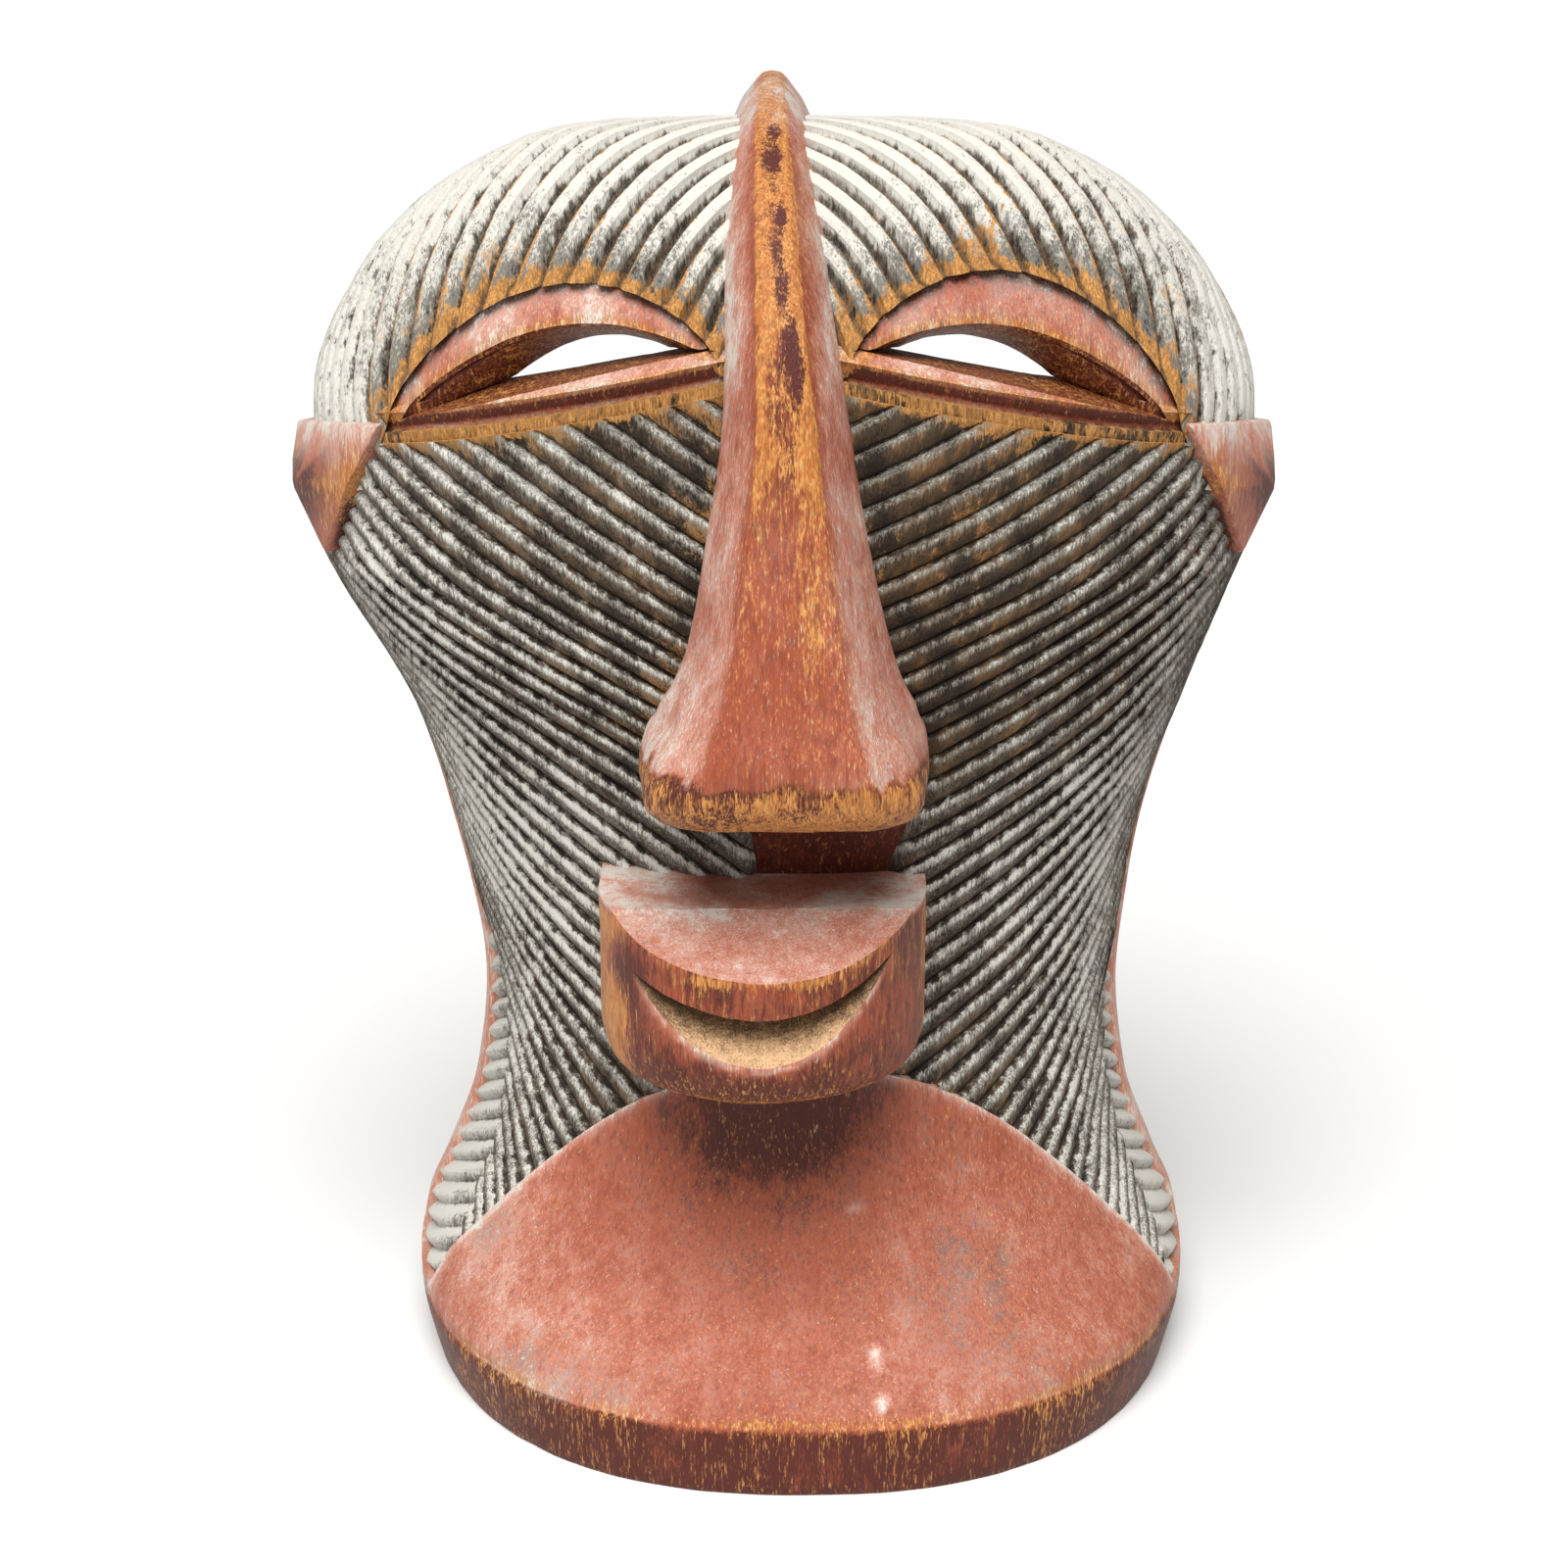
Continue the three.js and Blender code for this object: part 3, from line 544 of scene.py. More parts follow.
def brow_line(x):
    """Height of the straight lid line at a distance from the middle."""
    slope = (EYE["inner_height"] - EYE["outer_height"]) / (EYE["outer"] - EYE["inner"])
    return EYE["inner_height"] - slope * (np.abs(x) - EYE["inner"])


def brow_arc(t, side):
    """The arc over an eye, from its inner to its outer corner, as [distance, height]."""
    x = mix(EYE["inner"], EYE["outer"], t)
    rise = EYE["left_rise"] if side < 0 else EYE["right_rise"]
    return np.stack((x, brow_line(x) + rise * np.maximum(0, np.sin(np.pi * t)) ** 0.6), -1)


def over_brow(x, z, side):
    """Distance from a place seen from the front to the nearest point of a brow's arc."""
    arc = brow_arc(np.linspace(0, 1, 49), side)
    place = np.stack((np.abs(x), z), -1)
    gap = np.linalg.norm(place[..., None, :] - arc, axis=-1)
    return gap.min(-1)


def over_own_brow(x, z):
    """The same distance for each place to the brow on its own side."""
    return np.where(x < 0, over_brow(x, z, -1), over_brow(x, z, 1))


def slot_bow(width):
    """The shape of the slot's arch at a distance from the middle, from 0 at its ends to 1: a
    sine raised to a power under 1 that makes it full."""
    part = (width - EYE["inner"] - 1) / (EYE["outer"] - EYE["inner"] - 5)
    return np.sin(np.pi * np.clip(part, 0, 1)) ** 0.75


def smiled(across, smile):
    """How far a lip rises at a distance beside the middle: as the square of the distance, up
    to a little past the mouth's corner, and more on the right than on the left."""
    return (smile * np.minimum(1.6, np.abs(across) / MOUTH["corner"]) ** 2
            * (1 + MOUTH["skew"] * np.sign(across)))


def fringe_edge(z, side):
    """The angle, in degrees, where the fan ends and the fringe starts at a height."""
    return fringe_start_at(z) + (FRINGE["right_turn"] if side > 0 else 0)


# Solids from grids of points


def grid_faces(rows, columns, first=0, closed=False):
    """Quads over a grid of points, row by row, closed round its columns if wanted."""
    index = first + np.arange(rows * columns).reshape(rows, columns)
    if closed:
        index = np.hstack((index, index[:, :1]))
    return np.stack((index[:-1, :-1], index[:-1, 1:], index[1:, 1:], index[1:, :-1]),
                    -1).reshape(-1, 4)


def outward(points, quads, triangles):
    """The same faces, all turned over if the volume that they close is negative."""
    halves = np.vstack((quads[:, [0, 1, 2]], quads[:, [0, 2, 3]], triangles))
    a, b, c = points[halves].transpose(1, 0, 2)
    if np.einsum("ij,ij->", a, np.cross(b, c)) < 0:
        return quads[:, ::-1], triangles[:, ::-1]
    return quads, triangles


def solid(name, zone, points, quads, triangles=None):
    """A Blender object from arrays of points and faces, all in one zone."""
    points = points.reshape(-1, 3)
    triangles = np.zeros((0, 3), int) if triangles is None else triangles
    quads, triangles = outward(points, quads, triangles)
    corners = np.concatenate((quads.ravel(), triangles.ravel()))
    starts = np.concatenate((np.arange(len(quads)) * 4,
                             4 * len(quads) + np.arange(len(triangles)) * 3))
    mesh = bpy.data.meshes.new(name)
    mesh.vertices.add(len(points))
    mesh.vertices.foreach_set("co", points.ravel())
    mesh.loops.add(len(corners))
    mesh.loops.foreach_set("vertex_index", corners)
    mesh.polygons.add(len(starts))
    mesh.polygons.foreach_set("loop_start", starts)
    mesh.update(calc_edges=True)
    return in_zone(name, mesh, zone)


def in_zone(name, mesh, zone):
    """A Blender object whose faces all have the zone's number as their material index."""
    for zone_name in ZONES:
        mesh.materials.append(bpy.data.materials.get(zone_name)
                              or bpy.data.materials.new(zone_name))
    mesh.polygons.foreach_set("material_index", np.full(len(mesh.polygons), ZONE[zone]))
    thing = bpy.data.objects.new(name, mesh)
    bpy.context.scene.collection.objects.link(thing)
    return thing


def sheet(name, zone, outer, inner):
    """A closed sheet between an outer and an inner grid, with walls round its edge."""
    rows, columns = outer.shape[:2]
    count = rows * columns
    index = np.arange(count).reshape(rows, columns)
    edge = np.concatenate((index[0, :-1], index[:-1, -1], index[-1, :0:-1], index[:0:-1, 0]))
    following = np.roll(edge, -1)
    walls = np.stack((edge, edge + count, following + count, following), -1)
    quads = np.vstack((grid_faces(rows, columns),
                       grid_faces(rows, columns, count)[:, ::-1], walls))
    return solid(name, zone, np.vstack((outer.reshape(-1, 3), inner.reshape(-1, 3))), quads)


def stack(name, zone, rings):
    """A closed stack of rings, capped at both ends by a fan about the ring's middle."""
    rows, columns = rings.shape[:2]
    count = rows * columns
    points = np.vstack((rings.reshape(-1, 3), rings[0].mean(0), rings[-1].mean(0)))
    around = np.arange(columns)
    following = np.roll(around, -1)
    low = np.stack((np.full(columns, count), following, around), -1)
    last = count - columns
    high = np.stack((np.full(columns, count + 1), last + around, last + following), -1)
    return solid(name, zone, points, grid_faces(rows, columns, closed=True),
                 np.vstack((low, high)))


def block(name, zone, low, high):
    """A box between two corners."""
    x, y, z = [[a, b] for a, b in zip(low, high)]
    ring = np.array([[x[0], y[0], 0], [x[1], y[0], 0], [x[1], y[1], 0], [x[0], y[1], 0]], float)
    return stack(name, zone, np.array([ring + [0, 0, z[0]], ring + [0, 0, z[1]]]))


def combine(base, operation, tools):
    """Joins or cuts an object with others, which are used up."""
    group = bpy.data.collections.new("tools")
    bpy.context.scene.collection.children.link(group)
    for tool in tools:
        group.objects.link(tool)
    modifier = base.modifiers.new("combine", "BOOLEAN")
    modifier.operation = operation
    modifier.solver = "MANIFOLD"
    modifier.operand_type = "COLLECTION"
    modifier.collection = group
    modifier.material_mode = "INDEX"
    depsgraph = bpy.context.evaluated_depsgraph_get()
    result = bpy.data.meshes.new_from_object(base.evaluated_get(depsgraph))
    if not result.polygons:
        raise RuntimeError(f"{operation.lower()} left nothing of {base.name}")
    split_large_faces(result)
    base.modifiers.clear()
    used = base.data
    base.data = result
    bpy.data.meshes.remove(used)
    for tool in tools:
        bpy.data.meshes.remove(tool.data)
    bpy.data.collections.remove(group)
    return base


def split_large_faces(mesh):
    """Cuts every face of more than four corners into triangles, while it is still flat."""
    shape = bmesh.new()
    shape.from_mesh(mesh)
    large = [face for face in shape.faces if len(face.verts) > 4]
    bmesh.ops.triangulate(shape, faces=large, ngon_method="EAR_CLIP")
    shape.to_mesh(mesh)
    shape.free()


# Flutes


def stops(first, last, within):
    """Places from first to last, at the given parts of each whole step."""
    whole = np.arange(math.floor(first), math.ceil(last) + 1)
    places = (whole[:, None] + np.array(within)).ravel()
    inner = places[(places > first + 0.02) & (places < last - 0.02)]
    return np.concatenate(([first], inner, [last]))


def reed(part, skew):
    """Height of a convex reed from groove to groove, 0 at a groove and 1 on its ridge. A
    skew under 1 moves the ridge towards the first groove."""
    return np.sin(np.pi * np.clip(part, 0, 1) ** skew) ** 0.8


def flat_top(part):
    """Height of a flat-topped flute: a round groove at each end and a level top between."""
    near = np.minimum(part, 1 - part) / FLAT_GROOVE
    return 1 - np.sqrt(np.maximum(0, 1 - near ** 2)) ** 1.4


def strayed(count, angle, wobble, course, side):
    """The count at an angle along a flute, moved with the grooves on both its sides, each of
    which strays on its own course."""
    size, seed = COURSE[course]
    low = np.floor(count)
    ends = [along_line(low + step, angle * BODY_RADIUS, size, seed + side) for step in (0, 1)]
    return count + wobble * mix(*ends, count - low)


def groove_depth(count, angle, course, side):
    """How deep the nearest groove is cut at an angle along it, about 1."""
    size, seed = COURSE[course]
    return 1 + 0.25 * along_line(np.round(count), angle * BODY_RADIUS, size, seed + side)


def first_past(past, values):
    """In each row, the value at the first place that is past something, or the last value."""
    found = np.argmax(past, axis=1)
    found = np.where(past.any(axis=1), found, past.shape[1] - 1)
    return values[found]


def cheek(form, side, first, last, columns):
    """One side's cheek flutes between two counts. Each rises round the face from beside the
    nose or from the arch, up to the lid, the ear or the fringe. Its section is a reed, cut
    into the skin, which fades under the lid and sinks below it at the flute's first end."""
    count = stops(first, last, REED_STOPS)
    angles = np.radians(np.arange(FAN_START, RIM_ANGLE + 0.1, 0.25))
    z = cheek_height(form.cheek_start(count)[:, None], angles, side)
    philtrum = np.radians(np.interp(z[:, 0], PHILTRUM["height"],
                                    PHILTRUM["left" if side < 0 else "right"]))
    under_arch = 5
    low = np.maximum(first_past(z > arch_height(angles) - under_arch, angles), philtrum)
    ended = ((z > cheek_top_at(np.degrees(angles)))
             | (angles > np.radians(fringe_edge(z, side) + 0.5)))
    high = first_past(ended & (angles > low[:, None] + np.radians(1)), angles)
    across = np.linspace(0, 1, columns + 1)
    angle = mix(low[:, None], high[:, None], across)
    line = count[:, None]
    wobble = form.hand_wobble / form.cheek_pitch
    start = form.cheek_start(strayed(line, angle, wobble, "cheek", side))
    height = cheek_height(start, angle, side)
    smooth = form.skin(side * angle, height)
    part = line - np.floor(line)
    skew = mix(0.6, 1.0, ease(np.degrees(angle), 45, 75))
    depth = form.flute_depth * groove_depth(line, angle, "cheek_depth", side)
    under_lid = brow_line(smooth[..., 0]) + LID["border"] - 0.7 - smooth[..., 2]
    jitter = noise(smooth, *NOISE["lid_border"])
    fade = np.where(np.abs(smooth[..., 0]) < EYE["outer"] + 2,
                    ease(under_lid + 1.5 * jitter, -0.6, 2.4), 1)
    offset = -depth * fade * (1 - reed(part, skew))
    tip = ease(np.linalg.norm(smooth - smooth[:, :1], axis=-1), 0, 4)
    offset = offset * tip - (form.recess + 0.4) * (1 - tip)
    return sheet("cheek", "cheek", form.skin(side * angle, height, offset),
                 form.skin(side * angle, height, -SKIN))


def fringe(form, side):
    """Short flutes between the cheek's fan and the band beside the back rim, counted up from
    the base. They fall a little with each degree that they go round, and are narrow reeds
    with wide grooves."""
    first = FRINGE["low"] / form.fringe_pitch
    last = FRINGE["high"] / form.fringe_pitch
    count = stops(0, round(last - first), REED_STOPS)
    z = FRINGE["low"] + count * form.fringe_pitch
    low = np.radians(fringe_edge(z, side))
    angle = mix(low[:, None], math.radians(RIM_ANGLE), np.linspace(0, 1, 13))
    height = z[:, None] - FRINGE["fall"] * np.degrees(angle - low[:, None])
    line = count[:, None]
    offset = -form.flute_depth * (1 - reed(line - np.floor(line), 1) ** 1.5)
    offset = offset * groove_depth(line, angle, "fringe_depth", side)
    return sheet("fringe", "fringe", form.skin(side * angle, height, offset),
                 form.skin(side * angle, height, -SKIN))


def forehead(form, side):
    """One side's forehead flutes, on small circles about an axis that leaves the head
    beside the nose, from the crest round to the brow or the back of the ear."""
    first, last = [round(FOREHEAD[end] / math.degrees(form.brow_pitch) * 2) / 2
                   for end in ("first", "last")]
    count = stops(first, last, FLAT_STOPS)
    spread = count * form.brow_pitch
    turns = np.radians(np.arange(60, 301))
    x, _, z = np.moveaxis(form.brow_points(*np.meshgrid(spread, turns, indexing="ij")), -1, 0)
    beside = x < FOREHEAD["beside"]
    start = first_past(beside, turns)
    floor = np.where(np.abs(x) > EYE["outer"] + 6, FOREHEAD["ear_height"], brow_line(x) - 3)
    end = np.maximum(start + math.radians(2), first_past(beside & (z < floor), turns))
    kept = end - start > math.radians(3)
    count, start, end = count[kept], start[kept], end[kept]
    turn = mix(start[:, None], end[:, None], np.linspace(0, 1, 45))
    line = np.broadcast_to(count[:, None], turn.shape)
    wobble = form.hand_wobble / FOREHEAD["spacing"]
    moved = strayed(line, turn, wobble, "forehead", side) * form.brow_pitch
    smooth = form.brow_points(moved, turn)
    gap = over_brow(smooth[..., 0], smooth[..., 2], side)
    jitter = noise(smooth, *NOISE["brow_border"])
    fade = np.where(np.abs(smooth[..., 0]) < EYE["outer"] + 2,
                    ease(gap + 2.2 * jitter, -0.8, 2.8), 1)
    depth = form.flute_depth * fade * groove_depth(line, turn, "forehead_depth", side)
    offset = -depth * (1 - flat_top(line - np.floor(line)))
    mirror = np.array([-side, 1, 1])
    return sheet("forehead", "forehead", form.brow_points(moved, turn, offset) * mirror,
                 form.brow_points(moved, turn, -SKIN) * mirror)


# Eyes


def eye_cut(side):
    """A prism through the flutes: the arc of the brow, closed under the lid's border."""
    arc = brow_arc(np.linspace(0, 1, 61), side)
    ends = np.array([EYE["outer"] + 2, EYE["inner"] - 6])
    below = np.stack((ends, brow_line(ends) + LID["border"] - 0.7), -1)
    outline = np.vstack((arc, below))
    ring = np.stack((side * outline[:, 0], np.zeros(len(outline)), outline[:, 1]), -1)
    return stack("eye_cut", "brow", np.array([ring + [0, -130, 0], ring + [0, -40, 0]]))


def eye_slot(form, side):
    """The slot right through: it follows the face, and its rings narrow from a wide arch at
    the mouth to a short one at the throat. Each ring has a sill that falls outwards as a
    square, and an arch that is a full sine over it. The first and last rings stand clear of
    the wood."""
    t = np.concatenate((np.linspace(0, 1, 41), np.linspace(0.975, 0.025, 39)))
    over = (np.arange(len(t)) > 0) & (np.arange(len(t)) < 40)
    bow = np.maximum(0, np.sin(np.pi * t)) ** 0.75

    def ring(depth, inner, outer, bottom, taper, rise):
        x = mix(inner, outer, t)
        sill = bottom - taper * t * t
        arch = np.maximum(sill + 0.5, LID["slot"] + rise * bow)
        z = brow_line(x) + np.where(over, arch, sill)
        return np.stack((side * x, form.skin_depth(x, z) + depth, z), -1)

    mouth = np.array([EYE["inner"] + 1, EYE["outer"] - 4, LID["top"], LID["top"] - 1.6,
                      SLOT_RISE])
    front, back = form.recess - 1, form.wall + 1
    rings = [ring(-14, *mouth)]
    rings += [ring(mix(front, back, part), *mix(mouth, THROAT, part ** 0.85))
              for part in np.linspace(0, 1, 9)]
    rings.append(ring(form.wall + 16, *THROAT))
    return stack("eye_slot", "slot", np.array(rings))


def lower_lid(form, side):
    """The sloping lid, the hollow face under its edge, and the plain border under that. Each
    is a strip that follows the face, ruled between two lines over the lid line. The first
    line falls outwards as a square."""
    t = np.linspace(0, 1, 61)
    x = mix(EYE["inner"] - 4, EYE["outer"] + 3, t)
    part = np.linspace(0, 1, 4)[:, None]
    taper = LID["top"] - LID["edge"] - 0.8
    strips = []
    for zone, top, low, rise_top, rise_low in LID_STRIPS:
        top_line = LID[top] - (taper if top == "top" else 0) * t * t
        z = brow_line(x) + mix(LID[low], top_line, part)
        place = np.broadcast_to(x, z.shape)
        depth = form.skin_depth(place, z) - mix(rise_low, rise_top, part)
        outer = np.stack((side * place, depth, z), -1)
        strips.append(sheet(zone, zone, outer, outer + [0, SKIN, 0]))
    return strips


def upper_lid(form, side):
    """The band between the brow's arc and the slot, which swells towards the slot as part of
    a sine."""
    top = brow_arc(np.linspace(0, 1, 61), side) + [0, 0.6]
    arch = LID["slot"] + SLOT_RISE * slot_bow(top[:, 0])
    low = brow_line(top[:, 0]) + np.maximum(LID["edge"], arch) - 1.5
    part = np.linspace(0, 1, 9)[:, None]
    z = mix(low, top[:, 1], part)
    x = np.broadcast_to(top[:, 0], z.shape)
    swell = 1.6 * np.sin(np.pi * (0.15 + 0.85 * (1 - part))) ** 0.7 + 0.9 * (1 - part)
    depth = form.skin_depth(x, z) + form.recess + 0.5 - swell
    outer = np.stack((side * x, depth, z), -1)
    return sheet("upper_lid", "lid", outer, outer + [0, SKIN, 0])


# Nose and crest


def ridge_profile(points):
    """A corner-by-corner outline, cut into short pieces and rubbed smooth twice."""
    parts = np.linspace(0, 1, 7)[:-1]
    pieces = (points[:, :-1, None] * (1 - parts)[:, None]
              + points[:, 1:, None] * parts[:, None]).reshape(len(points), -1, points.shape[-1])
    outline = np.concatenate((pieces, points[:, -1:]), 1)
    for _ in range(2):
        outline[:, 1:-1] = (outline[:, :-2] + 2 * outline[:, 1:-1] + outline[:, 2:]) / 4
    return outline


def ridge_rows(count):
    """The ridge's rows, refined by a monotone cubic along its edge."""
    rows = np.array(RIDGE, float)
    gaps = np.linalg.norm(np.diff(rows[:, :2], axis=0), axis=1)
    places = np.concatenate(([0], np.cumsum(gaps)))
    fine = np.linspace(0, places[-1], count)
    return np.stack([smooth_through(np.stack((places, column), -1))(fine)
                     for column in rows.T], -1)


def nose():
    """The nose and crest: a faceted section with a flat front strip and full flanks, carried
    along its edge, level at the nostrils and square to the edge from there up."""
    rows = ridge_rows(150)
    y, z, depth, base, strip, fullness, x = rows.T
    along = np.gradient(rows[:, :2], axis=0)
    along /= np.linalg.norm(along, axis=1, keepdims=True)
    turned = np.stack((along[:, 1], -along[:, 0]), -1)
    square = ease(z, 205, 232)[:, None]
    inward = mix(np.array([1.0, 0.0]), turned, square)
    inward /= np.linalg.norm(inward, axis=1, keepdims=True)
    flank = [(base * 0.96, depth), (base, depth - 14),
             (mix(base, strip, 0.5) + fullness, mix(depth - 14, 0.5, 0.5) - fullness),
             (mix(base, strip, 0.8) + fullness * 0.6, mix(depth - 14, 0.5, 0.8) - fullness * 0.5),
             (strip, 0.5 + 0 * strip)]
    half = np.stack([np.stack(pair, -1) for pair in flank], 1)
    middle = np.zeros((len(rows), 1, 2))
    corners = np.concatenate((half * [-1, 1], middle, half[:, ::-1]), 1)
    across, inset = np.moveaxis(ridge_profile(corners), -1, 0)
    rings = np.stack((x[:, None] + across, y[:, None] + inward[:, :1] * inset,
                      z[:, None] + inward[:, 1:] * inset), -1)
    return stack("nose", "nose", rings)


# Mouth


def mouth():
    """The mouth block: half a superellipse seen from above, with a rounded lower edge, a
    sloping upper lip and an open slit cut into its front."""
    m = MOUTH
    angle = np.radians(np.linspace(-90, 90, 57))
    z = np.concatenate((np.linspace(m["bottom"], m["bottom"] + 12, 9),
                        np.linspace(m["bottom"] + 16, m["top"], 12)))
    shrink = smooth_through([[m["bottom"], 5], [m["bottom"] + 1.5, 3], [m["bottom"] + 5, 1.2],
                             [m["bottom"] + 12, 0], [m["top"], 0]])(z)[:, None]
    power = 2 / m["squareness"]
    x = m["x"] + (m["half_width"] - shrink) * signed_power(np.sin(angle), power)
    y = m["side"] - (m["side"] - m["front"] - shrink) * signed_power(np.cos(angle), power)
    front = np.stack((x, y, np.broadcast_to(z[:, None], x.shape)), -1)
    right = np.stack((m["x"] + m["half_width"] - shrink, m["back"] + 0 * shrink,
                      z[:, None]), -1)
    left = right * [-1, 1, 1] + [2 * m["x"], 0, 0]
    rings = np.concatenate((front, right, left), 1)
    lips = stack("mouth", "mouth", rings)
    return combine(lips, "DIFFERENCE", [
        wedge("slope", m["fold"], m["top"], m["slope_drop"], CUTTER["headroom"], 0),
        wedge("crescent", m["slit_back"], m["slit"], m["slit_drop"], 0, m["smile"])])


def wedge(zone, back, z, drop, headroom, smile):
    """A cutter across the mouth, closed at a fold at its back. Its floor falls to the block's
    front by drop and on past it, and its roof stays level at headroom. Both are a little
    uneven, and rise towards the corners of a smile."""
    reach = MOUTH["front"] - CUTTER["ahead"]
    drop = drop * (back - reach) / (back - MOUTH["front"])
    across = np.linspace(-CUTTER["half_width"], CUTTER["half_width"], 61)
    part = np.linspace(0, 1, 25)[:, None]
    corner = smiled(across, smile)
    x = np.broadcast_to(MOUTH["x"] + across, (25, 61))
    y = np.broadcast_to(mix(back, reach, part), x.shape)
    floor = np.stack((x, y, z - drop * part + corner), -1)
    roof = np.stack((x, y, z + headroom + corner + 0 * part), -1)
    opened = np.minimum(1, 8 * part)
    floor[..., 2] += 0.45 * noise(floor, *NOISE["lip"]) * (1 if headroom else opened)
    roof[..., 2] += 0.02 + 0.3 * noise(floor, *NOISE["slit_roof"]) * opened
    return sheet(zone, zone, floor, roof)


# Ears


def ear(side):
    """A faceted lug: the hull of its corners, with its edges rubbed round."""
    shape = bmesh.new()
    for x, y, z in EAR:
        shape.verts.new((side * x, y, z))
    hull = bmesh.ops.convex_hull(shape, input=shape.verts)
    loose = [v for v in hull["geom_interior"] + hull["geom_unused"]
             if isinstance(v, bmesh.types.BMVert)]
    bmesh.ops.delete(shape, geom=loose, context="VERTS")
    bmesh.ops.dissolve_limit(shape, angle_limit=math.radians(2), verts=shape.verts,
                             edges=shape.edges)
    bmesh.ops.bevel(shape, geom=shape.edges[:], offset=0.9, segments=2, affect="EDGES",
                    profile=0.5)
    bmesh.ops.triangulate(shape, faces=shape.faces)
    bmesh.ops.recalc_face_normals(shape, faces=shape.faces)
    mesh = bpy.data.meshes.new("ear")
    shape.to_mesh(mesh)
    shape.free()
    return in_zone("ear", mesh, "ear")


# Body, apron and hollow


def body(form, name, zone, offset):
    """The smooth body as a stack of level rings, from the underside to the dome's top."""
    heights = np.concatenate((np.linspace(0, form.shoulder, 61)[:-1],
                              mix(form.shoulder, form.dome_top,
                                  np.sin(np.radians(np.linspace(0, 88, 37))))))
    angle = np.linspace(0, 2 * np.pi, 120, endpoint=False)
    return stack(name, zone, form.skin(angle, heights[:, None], offset))


def refine(rows, fine):
    """Weights that carry values at uneven rows to finer places by a smooth cubic."""
    basis = np.eye(len(rows))
    gaps = np.diff(rows)
    slopes = np.diff(basis, axis=0) / gaps[:, None]
    tangents = np.vstack((slopes[:1], (slopes[1:] + slopes[:-1]) / 2, slopes[-1:]))
    i = np.clip(np.searchsorted(rows, fine) - 1, 0, len(gaps) - 1)
    t = ((fine - rows[i]) / gaps[i])[:, None]
    s = 1 - t
    return (basis[i] * (1 + 2 * t) * s * s + basis[i + 1] * (3 - 2 * t) * t * t
            + gaps[i][:, None] * (tangents[i] * t * s * s - tangents[i + 1] * t * t * s))


def apron(form):
    """The smooth flare under the arch and the upright edge of the base. Over the edge each
    column of points is a smooth cubic up to the arch, a little uneven from the adze."""
    angle = np.radians(np.linspace(-RIM_ANGLE, RIM_ANGLE, 141))
    levels = np.array([0, 0.1, 0.22, 0.36, 0.52, 0.7, 0.86, 1])
    fine = np.concatenate(([0, 0.006, 0.015, 0.03], np.linspace(0.05, 1, 44)))
    top = np.maximum(arch_height(angle), BASE_EDGE + 4)
    z = mix(BASE_EDGE, top, levels[:, None])

    def flare(offset):
        flank = np.tensordot(refine(levels, fine), form.skin(angle, z, offset), 1)
        foot = form.skin(angle, np.array(BASE_ROWS)[:, None], offset)
        return np.concatenate((foot, flank))

    outer, inner = flare(form.apron_rise), flare(-SKIN)
    slope = ease(outer[..., 2], BASE_EDGE, BASE_EDGE + 10)
    uneven = 0.45 * noise(outer, *NOISE["adze"]) + 0.2 * noise(outer, *NOISE["small_adze"])
    chips = np.maximum(0, noise(outer, *NOISE["chips"]))
    chipped = hump(outer[..., 2], BASE_EDGE, 1.2) * (0.5 + 0.7 * chips)
    worn = np.maximum(0, noise(outer, *NOISE["worn_foot"]))
    foot = nearness(outer[..., 2], 0.9) * (0.5 + 0.5 * worn)
    inward = (inner - outer) / np.linalg.norm(inner - outer, axis=-1, keepdims=True)
    push = chipped + foot - uneven * slope
    outer = outer + inward * push[..., None]
    return sheet("apron", "apron", outer, inner)


def hollow(form):
    """The hollow behind the face, open at the back, with a floor over the base and shallow
    scoops left by the adze."""
    z = np.concatenate(([HOLLOW_FLOOR], np.linspace(HOLLOW_FLOOR + 6, HOLLOW_TOP - 4, 78),
                        [HOLLOW_TOP]))
    width, front, _, _ = form.section(z)
    neck_width, neck_front, _, _ = form.section(np.clip(z, 105, form.dome_top))
    half_width = (np.minimum(width, neck_width) - form.wall)[:, None]
    depth = (np.maximum(front, neck_front) + form.wall)[:, None]
    angle = np.radians(np.linspace(-90, 90, 81))
    x = half_width * signed_power(np.sin(angle), 0.9)
    y = depth * signed_power(np.cos(angle), 0.9)
    lean = form.lean(z)[:, None]
    curve = np.stack((x + lean, y, np.broadcast_to(z[:, None], x.shape)), -1)
    scoops = (1.1 * np.abs(noise(curve, *NOISE["scoops"]))
              + 0.4 * noise(curve, *NOISE["small_scoops"]))
    scoops = scoops * ease(-curve[..., 1], 1, 8)
    curve[..., 0] -= np.sin(angle) * scoops
    curve[..., 1] += np.cos(angle) * scoops
    right = np.stack((half_width + lean, 10 + 0 * lean, z[:, None]), -1)
    left = np.stack((-half_width + lean, 10 + 0 * lean, z[:, None]), -1)
    return stack("hollow", "hollow", np.concatenate((curve, right, left), 1))


